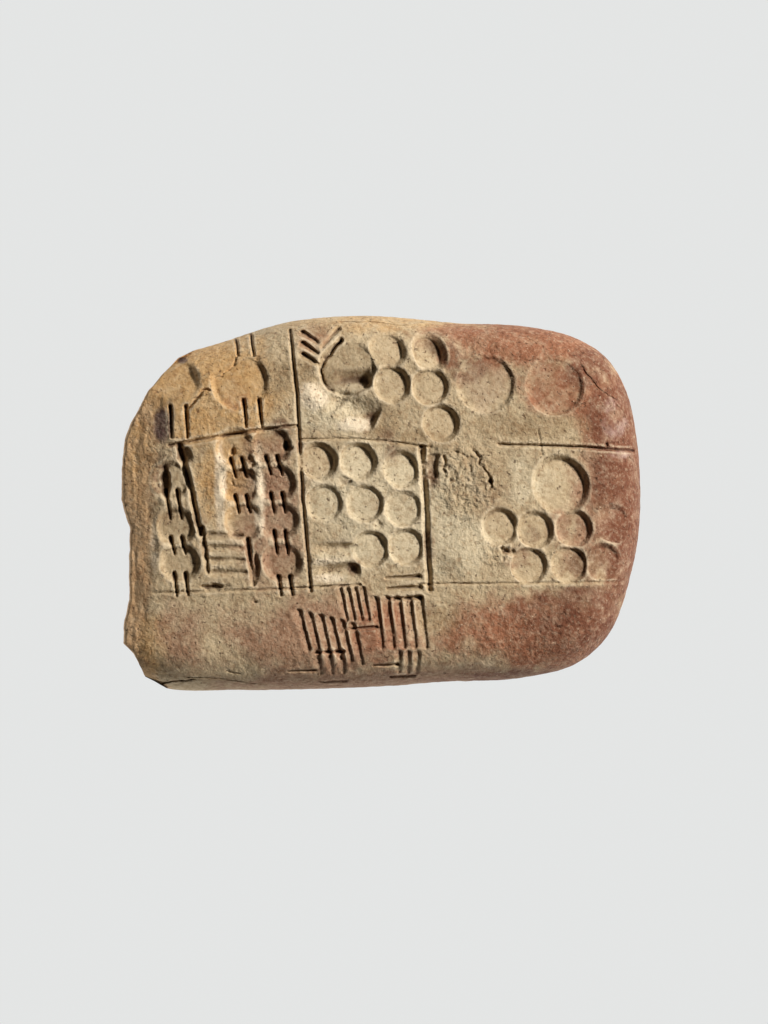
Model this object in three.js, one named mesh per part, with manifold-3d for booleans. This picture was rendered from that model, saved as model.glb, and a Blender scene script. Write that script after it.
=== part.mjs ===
// An archaic clay account tablet, lying on its back with the inscribed face up.
//
// The tablet is one cushion-shaped piece of clay. Its face is ruled into cases. They hold round number marks
// pressed with the ends of two styluses, marks linked by pairs of bars, and rows of plain strokes.
// Its left end is broken away. Its back is convex and worn flat where the tablet rests.
//
// Units are millimetres. +X runs along the face to the right, +Y towards its upper edge, +Z out of the face.
// The origin is the middle of the resting spot, under the middle of the tablet.

import * as THREE from "three";
import { mergeVertices } from "three/addons/utils/BufferGeometryUtils.js";
import Module from "manifold-3d";

// ---------------------------------------------------------------- driving dimensions

const LENGTH = 70; // along X, as it survives
const THICKNESS = 18; // at the middle of the face
const WIDEST_Z = 8.2; // height of the widest section
const FACE_ROLL = 6.5; // how far in from the outline the face starts to turn over
const BACK_ROLL = 15.5; // the same for the rounder back: inside it lies the flat resting spot
const ROLL_POWER = 2.3; // 2 is a round edge, more is squarer
const FACE_CROWN = 1.3; // how much lower the face lies at its ends than in its middle

const THICK_STYLUS = 7.8; // diameter of the large round marks
const THIN_STYLUS = 4.7; // diameter of the small round marks
const MARK_FLOOR = 0.93; // diameter of a round mark's floor, as a share of the stylus
const SHALLOW_WALL = 0.33; // how far a mark's wall runs out on its shallow side
const DEEP_WALL = 0.75; // how far it runs out on the deep side, as a share of the depth there
const LEAST_WALL = 0.1; // and what is added to that
const DEEP_SIDE = THREE.MathUtils.degToRad(28); // where every mark is deepest, as the styluses leaned

const THIN_PAIR_GAP = 1.5; // between the middles of two paired bars
const THICK_PAIR_GAP = 2.1;
const BAR_WIDTH = 0.65;
const BAR_DEPTH = 1.1;
const BAR_TAPER = 0.6; // width and depth at a bar's end, as a share of those at its head
const BAR_LEAN = -0.1; // where the deepest line of a cut lies: -1 is its right side, 1 is its left side
const STROKE_TAPER = 0.6;
const STROKE_LEAN = 0.6; // the same for a stroke cut across the direction in which the styluses leaned

const SCOOP_END = 0.9; // how far the steep end of a scoop runs out
const SCOOP_RUN = 0.5; // how far a scoop keeps its full depth, as a share of its length
const CRACK_TAPER = 0.7; // width and depth at a crack's end, as a share of those at its start

const CLEARANCE = 0.5; // how far a cutter stands clear of the surface that it cuts
const SLOPE_STEP = 0.4; // how far to each side the face is measured to find its slope

// The outline of the tablet before it broke, at its widest section, anticlockwise from the right end.
const OUTLINE = [
  [35.1, 1.0], [34.7, 8.0], [33.3, 14.8], [30.6, 19.5], [26.0, 22.4], [19.0, 23.9], [10.0, 24.3], [5.0, 24.8],
  [-1.0, 25.25], [-7.0, 25.1], [-13.0, 24.3], [-21.0, 21.8], [-27.4, 19.7], [-33.4, 16.2], [-37.2, 10.8],
  [-38.9, 4.0], [-39.0, -6.0], [-38.4, -15.0], [-36.0, -21.4], [-29.6, -24.8], [-18.5, -25.2], [-3.0, -24.9],
  [9.0, -24.1], [19.3, -23.55], [26.9, -21.4], [31.1, -17.3], [33.3, -11.5], [34.75, -5.0],
];

// The broken end. Each pair is a height Y and how far left the clay still reaches there:
// first at the foot of the break, down on the body, and then along its top, where it meets the face.
const BREAK_FOOT = [
  [-26.0, -27.3], [-24.5, -29.3], [-23.3, -31.5], [-20.2, -33.1], [-18.8, -34.5], [-15.7, -34.3],
  [-13.0, -33.7], [-3.1, -33.6], [-1.6, -34.2], [0.5, -34.7], [4.4, -34.7], [8.5, -34.3], [10.5, -33.6],
  [15.2, -31.0], [17.0, -29.5], [19.5, -27.1], [21.0, -24.0],
];
const BREAK_TOP = [
  [-26.0, -26.5], [-23.8, -29.6], [-19.5, -30.6], [-6.3, -30.0], [4.0, -29.6], [9.8, -28.6], [15.0, -28.2],
  [20.0, -25.0], [21.5, -22.5],
];
// The profile of the break: a height Z, and how far the break has run there from its foot towards its top.
// It is steep below and then a worn slope. The first and the last height lie clear of the clay.
const BREAK_PROFILE = [[-1, 0], [13.4, 0], [15.3, 0.03], [15.65, 0.07], [16.8, 1], [17.5, 1.3], [20, 1.5]];
const BREAK_RIB = 0.16; // how far the worn ribs of the break stand out
const RIB_SPACING = 3.3; // from one rib to the next

// ---------------------------------------------------------------- what was pressed into the face

// Round marks: where they lie, and how deep on the deep and on the shallow side.
const THICK_MARKS = [
  { at: [-27.9, 16.0], deep: 0.85, shallow: 0.3 },
  { at: [-18.8, 16.3], deep: 0.7, shallow: 0.4 },
  { at: [-4.4, 18.2], deep: 0.5, shallow: 0.7 },
  { at: [14.2, 16.0], deep: 0.45, shallow: 0.35 },
  { at: [23.5, 15.7], deep: 0.62, shallow: 0.3 },
  { at: [24.4, 2.5], deep: 1.1, shallow: 0.3 },
];
const THIN_MARKS = [
  { at: [1.0, 20.4], deep: 1.0, shallow: 0.4 },
  { at: [6.8, 20.3], deep: 1.7, shallow: 0.6 },
  { at: [1.6, 15.9], deep: 0.8, shallow: 0.45 },
  { at: [6.7, 15.6], deep: 0.75, shallow: 0.45 },
  { at: [8.2, 10.7], deep: 0.9, shallow: 0.5 },
  { at: [-8.2, 5.6], deep: 1.05, shallow: 0.35 },
  { at: [-2.9, 5.6], deep: 0.95, shallow: 0.35 },
  { at: [2.9, 4.5], deep: 1.0, shallow: 0.5 },
  { at: [-7.5, 0.0], deep: 0.5, shallow: 0.45 },
  { at: [-2.0, -0.1], deep: 0.55, shallow: 0.5 },
  { at: [3.1, -0.8], deep: 0.45, shallow: 0.45 },
  { at: [-1.3, -6.2], deep: 0.65, shallow: 0.5 },
  { at: [3.5, -5.9], deep: 0.65, shallow: 0.4 },
  { at: [16.1, -3.2], deep: 0.75, shallow: 0.5 },
  { at: [20.8, -3.6], deep: 0.75, shallow: 0.5 },
  { at: [26.0, -3.4], deep: 0.75, shallow: 0.4 },
  { at: [31.4, -2.8], deep: 0.75, shallow: 0.4 },
  { at: [20.0, -8.4], deep: 0.65, shallow: 0.5 },
  { at: [25.4, -8.3], deep: 0.6, shallow: 0.4 },
  { at: [29.9, -7.9], deep: 0.75, shallow: 0.4 },
];

// Scoops made with the side of a stylus: where the steep end is, and the heading in which the scoop runs out.
// The bank is the slope on the left of that heading, the wall the one on its right.
const SCOOPS = [
  { steepEnd: [-2.1, 16.5], heading: 184, bank: 1.5, wall: 1.9, depth: 1.3, length: 5.2 },
  { steepEnd: [-5.7, 13.8], heading: 135, bank: 2.4, wall: 2.4, depth: 1.1, length: 5.0 },
  { steepEnd: [-1.1, 11.6], heading: 155, bank: 2.8, wall: 2.6, depth: 1.15, length: 6.3 },
  { steepEnd: [-3.4, -5.9], heading: 182, bank: 1.9, wall: 0.9, depth: 0.9, length: 6.2 },
  { steepEnd: [-3.5, -8.7], heading: 184, bank: 1.8, wall: 1.1, depth: 1.1, length: 5.8 },
];

// Marks of the thin stylus one under the other, each linked to the next by a pair of bars.
const LINKED_MARKS = [
  [[-28.0, 3.1], [-27.4, -3.2], [-26.8, -8.0]],
  [[-19.3, 7.4], [-18.7, 2.4], [-18.2, -2.4]],
  [[-14.6, 7.7], [-13.9, 2.7], [-13.5, -2.4], [-13.1, -7.9]],
];
const LINKED_DEEP = 0.6;
const LINKED_SHALLOW = 0.85;
const LINKED_WALL = 0.7; // their walls run out equally far all round
const LINKED_BAR_START = 1.4; // how far below the upper mark's middle a linking bar starts
const LINKED_BAR_END = 1.1; // how far above the lower mark's middle it ends

// Pairs of bars on their own: above and below the thick marks, and below the linked ones.
const BAR_PAIRS = [
  { from: [-18.5, 23.4], to: [-18.0, 19.8], gap: THICK_PAIR_GAP },
  { from: [-17.3, 13.8], to: [-16.9, 10.2], gap: THICK_PAIR_GAP },
  { from: [-27.1, 13.0], to: [-26.9, 8.8], gap: THICK_PAIR_GAP },
  { from: [-26.9, -9.4], to: [-26.5, -12.4], gap: THIN_PAIR_GAP },
  { from: [-12.9, -9.8], to: [-12.5, -12.4], gap: THIN_PAIR_GAP },
];

// The lines that divide the face into cases. Widths and depths run from the first value to the last.
const RULINGS = [
  {
    path: [[-28.2, 7.7], [-23.7, 8.5], [-16.0, 9.8], [-11.2, 10.4]],
    widths: [0.75, 0.5],
    depths: [0.65, 0.45],
    lean: 0.3,
  },
  {
    path: [[-10.6, 8.5], [-4.7, 8.6], [0.7, 8.3], [6.7, 7.5]],
    widths: [0.4, 0.4],
    depths: [0.25, 0.25],
    lean: 0.3,
  },
  { path: [[15.9, 7.85], [25.0, 7.6], [34.1, 7.0]], widths: [0.5, 0.55], depths: [0.6, 0.65], lean: 0.2 },
  {
    path: [[-31.2, -12.1], [-14.0, -11.6], [-2.7, -11.0]],
    widths: [0.4, 0.4],
    depths: [0.35, 0.35],
    lean: 0.3,
  },
  {
    path: [[5.0, -10.9], [18.0, -10.8], [32.8, -10.6]],
    widths: [0.35, 0.35],
    depths: [0.25, 0.3],
    lean: 0.3,
  },
  {
    path: [[-12.1, 23.2], [-11.2, 14.5], [-10.4, 0.4], [-9.3, -11.8]],
    widths: [0.6, 0.6],
    depths: [0.65, 0.6],
    lean: 0.1,
  },
  {
    path: [[5.6, 7.4], [5.9, 3.2], [6.2, -1.0], [6.7, -11.6]],
    widths: [1.1, 0.9],
    depths: [0.75, 0.65],
    lean: -0.2,
  },
  { path: [[-26.9, 7.6], [-25.4, 1.9], [-24.2, -4.2]], widths: [1.1, 0.8], depths: [1.0, 0.8], lean: 0.1 },
];

// Rows of plain strokes. Each starts wide and deep at its head and runs out thinner.
const STROKE_ROWS = [
  { firstHead: [-10.4, 22.8], lastHead: [-10.3, 19.8], count: 3, run: [1.9, -1.2], width: 1.1, depth: 0.8 },
  { firstHead: [-5.6, 23.4], lastHead: [-5.3, 21.9], count: 2, run: [-2.2, -2.4], width: 0.9, depth: 0.7 },
  { firstHead: [-23.0, -4.4], lastHead: [-22.4, -9.4], count: 4, run: [4.4, 0.0], width: 1.2, depth: 0.6 },
  { firstHead: [-24.0, -3.4], lastHead: [-17.9, -5.0], count: 2, run: [0.9, -6.0], width: 1.0, depth: 1.1 },
  { firstHead: [-5.4, -11.7], lastHead: [-2.4, -11.6], count: 4, run: [0.9, -4.0], width: 0.95, depth: 0.4 },
  { firstHead: [-11, -14.8], lastHead: [-3.8, -16.6], count: 6, run: [1.3, -4.9], width: 1.35, depth: 0.42 },
  { firstHead: [-8.6, -20.2], lastHead: [-5.4, -20.0], count: 3, run: [0.5, -2.6], width: 1.3, depth: 0.35 },
  { firstHead: [5.2, -9.9], lastHead: [5.5, -12.7], count: 3, run: [-4.4, -0.2], width: 0.8, depth: 0.7 },
  { firstHead: [-0.7, -13.1], lastHead: [5.2, -13.0], count: 5, run: [0.9, -6.2], width: 1.4, depth: 0.42 },
  { firstHead: [2.5, -20.2], lastHead: [5.0, -20.3], count: 3, run: [0.0, -2.4], width: 1.1, depth: 0.35 },
  { firstHead: [-0.5, -16.7], lastHead: [-4.9, -19.9], count: 2, run: [-3.8, -0.2], width: 0.6, depth: 0.6 },
  { firstHead: [2.4, -21.7], lastHead: [4.7, -23.2], count: 2, run: [-3.3, -0.15], width: 0.6, depth: 0.6 },
  { firstHead: [-8.7, -22.5], lastHead: [-4.5, -23.9], count: 2, run: [-3.6, -0.1], width: 0.5, depth: 0.5 },
];

// ---------------------------------------------------------------- damage

const CRACKS = [
  { path: [[-25.6, 12.8], [-24.6, 14.1], [-23.8, 15.2], [-22.9, 15.1]], width: 0.55, depth: 0.7 },
  { path: [[27.0, 18.6], [28.3, 16.8], [29.6, 15.2], [32.6, 13.6]], width: 0.22, depth: 0.4 },
  { path: [[-5.2, 21.7], [-7.3, 19.3], [-7.9, 17.8], [-7.7, 16.6], [-6.3, 14.9]], width: 0.5, depth: 0.7 },
  { path: [[11.2, 6.6], [8.5, 6.3], [8.5, 4.7], [9.7, 3.0]], width: 0.45, depth: 0.6 },
  { path: [[12.5, 7.1], [13.5, 6.1], [14.1, 4.4], [14.8, 3.4], [14.5, 1.7]], width: 0.4, depth: 0.6 },
];

// Hollows where the face has flaked, with the size of the flake across X and Y and its depth.
const FLAKES = [
  { at: [7.0, 4.9], size: [1.8, 5.4], depth: 0.6 },
  { at: [17.2, -6.5], size: [2.6, 1.5], depth: 0.5 },
  { at: [-16.6, -8.6], size: [1.0, 4.6], depth: 0.6 },
  { at: [-22.0, -11.3], size: [5.0, 0.9], depth: 0.8 },
  { at: [-28.8, 3.0], size: [1.4, 5.0], depth: 0.9 },
  { at: [-26.4, 6.4], size: [2.2, 2.6], depth: 0.7 },
  { at: [-12.4, 7.7], size: [1.4, 1.8], depth: 0.7 },
];

// A low swelling of the face, squeezed up when the marks round it were pressed.
const MOUND = { at: [11.2, -7.4], size: [9, 8.5], rise: 0.5 };

// ---------------------------------------------------------------- the form of the clay

const outlineCurve = new THREE.CatmullRomCurve3(
  OUTLINE.map(([x, y]) => new THREE.Vector3(x, y, 0)),
  true,
);

// Where the ray at this angle crosses the outline, and how far the tangent there lies from the middle.
function traceOutline(angle, samples) {
  const ray = new THREE.Vector2(Math.cos(angle), Math.sin(angle));
  const after = (i) => samples[(i + 1) % samples.length];
  const i = samples.findIndex((p, n) => ray.dot(p) > 0 && ray.cross(p) <= 0 && ray.cross(after(n)) > 0);
  const [p, q] = [samples[i], after(i)];
  const share = ray.cross(p) / (ray.cross(p) - ray.cross(q));
  const hit = new THREE.Vector2(p.x, p.y).lerp(q, share);
  const outward = new THREE.Vector2(q.y - p.y, p.x - q.x).normalize();
  return { radius: hit.length(), support: outward.dot(hit) };
}

const outlineSamples = outlineCurve.getPoints(1440).slice(1);
const outlineByDegree = Array.from({ length: 360 }, (_, degree) =>
  traceOutline(THREE.MathUtils.degToRad(degree), outlineSamples),
);

function outlineAt(angle) {
  const degree = THREE.MathUtils.euclideanModulo(THREE.MathUtils.radToDeg(angle), 360);
  const low = outlineByDegree[Math.floor(degree) % 360];
  const high = outlineByDegree[Math.ceil(degree) % 360];
  const share = degree % 1;
  return {
    radius: THREE.MathUtils.lerp(low.radius, high.radius, share),
    support: THREE.MathUtils.lerp(low.support, high.support, share),
  };
}

function distanceInside(x, y) {
  const { radius, support } = outlineAt(Math.atan2(y, x));
  return Math.max(0, 1 - Math.hypot(x, y) / radius) * support;
}

// The profile of a turned-over edge: 0 at the outline, 1 where the turn ends.
function roll(share) {
  return (1 - (1 - Math.min(share, 1)) ** ROLL_POWER) ** (1 / ROLL_POWER);
}

function faceHeight(x, y) {
  const crown = FACE_CROWN * ((2 * x) / LENGTH) ** 2;
  return WIDEST_Z + (THICKNESS - WIDEST_Z - crown) * roll(distanceInside(x, y) / FACE_ROLL);
}

function backHeight(x, y) {
  return WIDEST_Z * (1 - roll(distanceInside(x, y) / BACK_ROLL));
}

function facePoint(x, y) {
  return new THREE.Vector3(x, y, faceHeight(x, y));
}

function faceNormal(x, y) {
  const slopeX = (faceHeight(x + SLOPE_STEP, y) - faceHeight(x - SLOPE_STEP, y)) / (2 * SLOPE_STEP);
  const slopeY = (faceHeight(x, y + SLOPE_STEP) - faceHeight(x, y - SLOPE_STEP)) / (2 * SLOPE_STEP);
  return new THREE.Vector3(-slopeX, -slopeY, 1).normalize();
}

// ---------------------------------------------------------------- closed meshes and solids

const wasm = await Module();
wasm.setup();

function solidOf(geometry) {
  const bare = geometry.clone().deleteAttribute("normal").deleteAttribute("uv");
  const merged = mergeVertices(bare, 1e-4);
  const vertProperties = merged.attributes.position.array;
  const triVerts = new Uint32Array(merged.index.array);
  return new wasm.Manifold(new wasm.Mesh({ numProp: 3, vertProperties, triVerts }));
}

// Joins a ring to the next one, which has as many points or a whole number of times fewer.
function bridge(ring, next) {
  const group = ring.length / next.length;
  const at = (points, i) => points[i % points.length];
  const partner = (i) => Math.round(i / group);
  return ring.flatMap((point, i) => {
    const after = at(ring, i + 1);
    const [here, there] = [at(next, partner(i)), at(next, partner(i + 1))];
    const step = [point, after, there];
    return here === there ? step : [...step, point, there, here];
  });
}

function middleOf(points) {
  return points.reduce((sum, point) => sum.add(point), new THREE.Vector3()).divideScalar(points.length);
}

// Rings of points, each counter-clockwise seen from the next, joined in order. Fans to poles close the ends.
function shellOf(rings, firstPole, lastPole) {
  const fan = (ring, pole) => ring.flatMap((point, i) => [point, ring[(i + 1) % ring.length], pole]);
  const sides = rings.slice(1).flatMap((next, i) => bridge(rings[i], next));
  const corners = [...fan(rings[0].toReversed(), firstPole), ...sides, ...fan(rings.at(-1), lastPole)];
  return new THREE.BufferGeometry().setFromPoints(corners);
}

// The cushion of clay before anything was pressed into it.
function cushion() {
  const sides = 60;
  const innerSides = 12;
  const turnSteps = 5;
  const ring = (count, rollWidth, turn, height) =>
    Array.from({ length: count }, (_, i) => {
      const angle = (i / count) * 2 * Math.PI;
      const { radius, support } = outlineAt(angle);
      const reach = radius * (1 - (rollWidth * (1 - Math.cos(turn))) / support);
      const [x, y] = [reach * Math.cos(angle), reach * Math.sin(angle)];
      return new THREE.Vector3(x, y, height(x, y));
    });
  const quarter = Math.PI / 2;
  const turns = Array.from({ length: turnSteps }, (_, i) => (quarter * (i + 1)) / turnSteps);
  const backRings = turns.toReversed().map((turn) => ring(sides, BACK_ROLL, turn, backHeight));
  const widestRing = ring(sides, 0, 0, () => WIDEST_Z);
  const faceRings = turns.map((turn) => ring(sides, FACE_ROLL, turn, faceHeight));
  const innerRing = ring(innerSides, 1.6 * FACE_ROLL, quarter, faceHeight);
  const rings = [...backRings, widestRing, ...faceRings, innerRing];
  return solidOf(shellOf(rings, new THREE.Vector3(0, 0, 0), facePoint(0, 0)));
}

// ---------------------------------------------------------------- cutters

// Reads a list of [key, value] pairs, sorted by key, as a line graph.
function readGraph(pairs, key) {
  const last = pairs.length - 1;
  const next = pairs.findIndex(([k]) => k > key);
  if (next === 0) return pairs[0][1];
  if (next === -1) return pairs[last][1];
  const [[k0, v0], [k1, v1]] = [pairs[next - 1], pairs[next]];
  return THREE.MathUtils.mapLinear(key, k0, k1, v0, v1);
}

// How far left the broken end reaches, at a share of the way from its foot to its top.
function breakReach(y, share) {
  const rib = BREAK_RIB * Math.sin((2 * Math.PI * y) / RIB_SPACING) * Math.max(0, 1 - share);
  return THREE.MathUtils.lerp(readGraph(BREAK_FOOT, y), readGraph(BREAK_TOP, y), share) + rib;
}

// Everything to the left of the break: a box whose right side is bent to the broken surface.
function lostEnd() {
  const [width, stepsAcross, stepsUp] = [60, 30, BREAK_PROFILE.length - 1];
  const box = new THREE.BoxGeometry(1, width, stepsUp, 1, stepsAcross, stepsUp).translate(0, 0, stepsUp / 2);
  const position = box.attributes.position;
  for (let i = 0; i < position.count; i++) {
    const [side, y] = [position.getX(i), position.getY(i)];
    const [z, share] = BREAK_PROFILE[Math.round(position.getZ(i))];
    position.setX(i, side > 0 ? breakReach(y, share) : -LENGTH);
    position.setZ(i, z);
  }
  return solidOf(box);
}

// Turns a geometry's Y axis to a direction and sets its origin at a place.
function aim(geometry, direction, place) {
  const up = new THREE.Vector3(0, 1, 0);
  const turn = new THREE.Quaternion().setFromUnitVectors(up, direction.clone().normalize());
  return geometry.applyQuaternion(turn).translate(place.x, place.y, place.z);
}

// The end of a stylus, leaning so that its mark is deepest on the deep side. Its wall is widest there too,
// unless the mark has a wall of its own, equally wide all round.
function roundMark({ at: [x, y], deep, shallow, wall }, diameter) {
  const normal = faceNormal(x, y);
  const towardsDeep = new THREE.Vector3(Math.cos(DEEP_SIDE), Math.sin(DEEP_SIDE), 0);
  const lean = (deep - shallow) / diameter;
  const axis = normal.clone().addScaledVector(towardsDeep, lean);
  const middleDepth = (deep + shallow) / 2;
  const height = middleDepth + CLEARANCE;
  const deepWall = wall ?? LEAST_WALL + DEEP_WALL * deep;
  const shallowWall = wall ?? SHALLOW_WALL;
  const flare = ((deepWall + shallowWall) / 2) * (height / middleDepth);
  const shift = (deepWall - shallowWall) / 2 / middleDepth;
  const floorRadius = (MARK_FLOOR * diameter) / 2;
  const sides = diameter > THIN_STYLUS ? 18 : 13;
  const rod = new THREE.CylinderGeometry(floorRadius + flare, floorRadius, height, sides);
  rod.translate(0, height / 2, 0);
  rod.applyMatrix4(new THREE.Matrix4().makeShear(0, 0, shift * towardsDeep.x, -shift * towardsDeep.y, 0, 0));
  rod.translate(0, -middleDepth, 0);
  return solidOf(aim(rod, axis, facePoint(x, y)));
}

// The section of a scoop from side to side: places as shares of its wall or, from 0 up, of its bank, and how
// much of its depth it has there. It is open above its first and last place, which lie beyond its edges.
const SCOOP_SECTION = [[-1.1, -1], [-0.6, 0.35], [0, 1], [0.35, 0.72], [0.7, 0.22], [1.1, -1]];
const SCOOP_STEPS = [0, 0.5, 0.7, 0.85, 1];

// A trough that starts at a steep end and dies out along its heading.
function scoop({ steepEnd: [x, y], heading, bank, wall, depth, length }) {
  const turn = THREE.MathUtils.degToRad(heading);
  const ring = (along, fall) =>
    SCOOP_SECTION.map(([side, sink]) => {
      const across = side * (side > 0 ? bank : wall);
      const px = x + along * Math.cos(turn) - across * Math.sin(turn);
      const py = y + along * Math.sin(turn) + across * Math.cos(turn);
      return new THREE.Vector3(px, py, faceHeight(px, py) + (sink < 0 ? CLEARANCE : -fall * sink));
    });
  const fallAt = (share) => depth * (1 - THREE.MathUtils.smoothstep(share, SCOOP_RUN, 1));
  const floors = SCOOP_STEPS.map((share) => ring(share * length, fallAt(share)));
  const first = ring(-SCOOP_END, -CLEARANCE / 2);
  const last = ring(length + SCOOP_END, -CLEARANCE / 2);
  return solidOf(shellOf([first, ...floors, last], middleOf(first), middleOf(last)));
}

const STRIDE = 12;
const TURNING_STRIDE = 2;

// Adds points to a path on the face, close together where the face turns over, so that it follows the clay.
function followFace(path) {
  const points = path.slice(1).flatMap((to, i) => {
    const from = path[i];
    const length = Math.hypot(to[0] - from[0], to[1] - from[1]);
    const turning = Math.min(distanceInside(...from), distanceInside(...to)) < FACE_ROLL;
    const steps = Math.ceil(length / (turning ? TURNING_STRIDE : STRIDE));
    return Array.from({ length: steps }, (_, n) => [
      THREE.MathUtils.lerp(from[0], to[0], n / steps),
      THREE.MathUtils.lerp(from[1], to[1], n / steps),
    ]);
  });
  return [...points, path.at(-1)].map(([x, y]) => facePoint(x, y));
}

// A cut with a V section. Its width and depth run evenly from their first value to their last.
function incision({ path, widths, depths, lean = 0 }) {
  const points = followFace(path);
  const rings = points.map((point, i) => {
    const share = i / (points.length - 1);
    const depth = THREE.MathUtils.lerp(...depths, share);
    const mouth = THREE.MathUtils.lerp(...widths, share) * (1 + CLEARANCE / depth);
    const normal = faceNormal(point.x, point.y);
    const along = new THREE.Vector3().subVectors(points[i + 1] ?? point, points[i - 1] ?? point);
    const toRight = along.cross(normal).setLength(mouth / 2);
    const above = point.clone().addScaledVector(normal, CLEARANCE);
    const deepest = point.clone().addScaledVector(normal, -depth).addScaledVector(toRight, -lean);
    return [above.clone().add(toRight), deepest, above.clone().sub(toRight)];
  });
  return solidOf(shellOf(rings, middleOf(rings[0]), middleOf(rings.at(-1))));
}

function crack({ path, width, depth }) {
  return incision({ path, widths: [width, CRACK_TAPER * width], depths: [depth, CRACK_TAPER * depth] });
}

function barPair({ from, to, gap }) {
  return [-0.5, 0.5].map((side) => {
    const path = [from, to].map(([x, y]) => [x + side * gap, y]);
    const [widths, depths] = [BAR_WIDTH, BAR_DEPTH].map((size) => [size, BAR_TAPER * size]);
    return incision({ path, widths, depths, lean: BAR_LEAN });
  });
}

function linkedMarks(centres) {
  const marks = centres.map((at) => {
    const mark = { at, deep: LINKED_DEEP, shallow: LINKED_SHALLOW, wall: LINKED_WALL };
    return roundMark(mark, THIN_STYLUS);
  });
  const bars = centres.slice(1).flatMap(([x, y], i) => {
    const [xAbove, yAbove] = centres[i];
    const from = [xAbove, yAbove - LINKED_BAR_START];
    const to = [x, y + LINKED_BAR_END];
    return barPair({ from, to, gap: THIN_PAIR_GAP });
  });
  return [...marks, ...bars];
}

// Strokes side by side. The stylus leaned towards the deep side of all the marks, and there they are deepest.
function strokeRow({ firstHead, lastHead, count, run, width, depth }) {
  const towardsDeep = new THREE.Vector2(Math.cos(DEEP_SIDE), Math.sin(DEEP_SIDE));
  const lean = STROKE_LEAN * new THREE.Vector2(...run).normalize().cross(towardsDeep);
  const [widths, depths] = [width, depth].map((size) => [size, STROKE_TAPER * size]);
  return Array.from({ length: count }, (_, i) => {
    const share = i / (count - 1);
    const x = THREE.MathUtils.lerp(firstHead[0], lastHead[0], share);
    const y = THREE.MathUtils.lerp(firstHead[1], lastHead[1], share);
    return incision({ path: [[x, y], [x + run[0], y + run[1]]], widths, depths, lean });
  });
}

// A lens lying in the face, with its widest section at the surface.
function lens({ at: [x, y], size: [sizeX, sizeY] }, thickness) {
  const ball = new THREE.SphereGeometry(1, 10, 6).scale(sizeX / 2, thickness, sizeY / 2);
  return solidOf(aim(ball, faceNormal(x, y), facePoint(x, y)));
}

// ---------------------------------------------------------------- the tablet

function carveTablet() {
  const cutters = [
    lostEnd(),
    ...THICK_MARKS.map((mark) => roundMark(mark, THICK_STYLUS)),
    ...THIN_MARKS.map((mark) => roundMark(mark, THIN_STYLUS)),
    ...SCOOPS.map(scoop),
    ...LINKED_MARKS.flatMap(linkedMarks),
    ...BAR_PAIRS.flatMap(barPair),
    ...RULINGS.map(incision),
    ...STROKE_ROWS.flatMap(strokeRow),
    ...CRACKS.map(crack),
    ...FLAKES.map((flake) => lens(flake, flake.depth)),
  ];
  const clay = cushion().add(lens(MOUND, MOUND.rise));
  return cutters.reduce((solid, cutter) => solid.subtract(cutter), clay);
}

function meshOf(solid, material) {
  const { vertProperties, triVerts } = solid.getMesh();
  const geometry = new THREE.BufferGeometry();
  geometry.setAttribute("position", new THREE.BufferAttribute(vertProperties, 3));
  geometry.setIndex(new THREE.BufferAttribute(triVerts, 1));
  return new THREE.Mesh(geometry.toNonIndexed(), material);
}

const firedClay = new THREE.MeshStandardMaterial({ color: 0xbd9f78, roughness: 0.9, metalness: 0 });

const tablet = meshOf(carveTablet(), firedClay);
tablet.name = "tablet";

const part = new THREE.Group();
part.add(tablet);

export default part;
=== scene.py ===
"""The looks of an archaic clay account tablet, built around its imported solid.

The tablet's surface is one fine mesh over the same cushion form as the solid. The clay is measured in
millimetres until its mesh is made, and the studio in metres. Seen with the face up, +X runs to the right,
+Y to the upper edge and +Z out of the face.
"""

import math
from itertools import combinations

import bpy
import numpy as np
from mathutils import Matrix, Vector


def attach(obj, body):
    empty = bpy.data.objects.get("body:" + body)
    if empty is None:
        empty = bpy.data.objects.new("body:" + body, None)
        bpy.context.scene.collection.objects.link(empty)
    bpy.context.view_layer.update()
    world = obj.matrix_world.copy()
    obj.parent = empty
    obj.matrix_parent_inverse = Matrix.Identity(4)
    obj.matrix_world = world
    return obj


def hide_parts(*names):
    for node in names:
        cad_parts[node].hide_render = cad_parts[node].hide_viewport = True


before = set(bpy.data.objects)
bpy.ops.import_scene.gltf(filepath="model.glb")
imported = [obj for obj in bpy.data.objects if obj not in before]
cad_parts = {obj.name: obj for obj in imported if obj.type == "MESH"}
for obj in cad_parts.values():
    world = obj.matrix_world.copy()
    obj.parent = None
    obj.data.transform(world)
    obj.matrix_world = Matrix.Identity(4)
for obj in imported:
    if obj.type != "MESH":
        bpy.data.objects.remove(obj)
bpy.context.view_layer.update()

MM = 0.001

# ------------ driving dimensions, as in the solid

LENGTH = 70  # along X, as it survives
THICKNESS = 18  # at the middle of the face
WIDEST_Z = 8.2  # height of the widest section
FACE_ROLL = 6.5  # how far in from the outline the face starts to turn over
BACK_ROLL = 15.5  # the same for the rounder back: inside it lies the flat resting spot
ROLL_POWER = 2.3  # 2 is a round edge, more is squarer
FACE_CROWN = 1.3  # how much lower the face lies at its ends than in its middle

THICK_STYLUS = 7.8  # diameter of the large round marks
THIN_STYLUS = 4.7  # diameter of the small round marks
MARK_FLOOR = 0.93  # diameter of a round mark's floor, as a share of the stylus
SHALLOW_WALL = 0.33  # how far a mark's wall runs out on its shallow side
DEEP_WALL = 0.75  # how far it runs out on the deep side, as a share of the depth there
LEAST_WALL = 0.1  # and what is added to that
FORESHORTENING = 0.085  # how much a mark 1 mm deep is shortened along its lean, seen from above
DEEP_SIDE = math.radians(28)  # where every mark is deepest, as the styluses leaned

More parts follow.
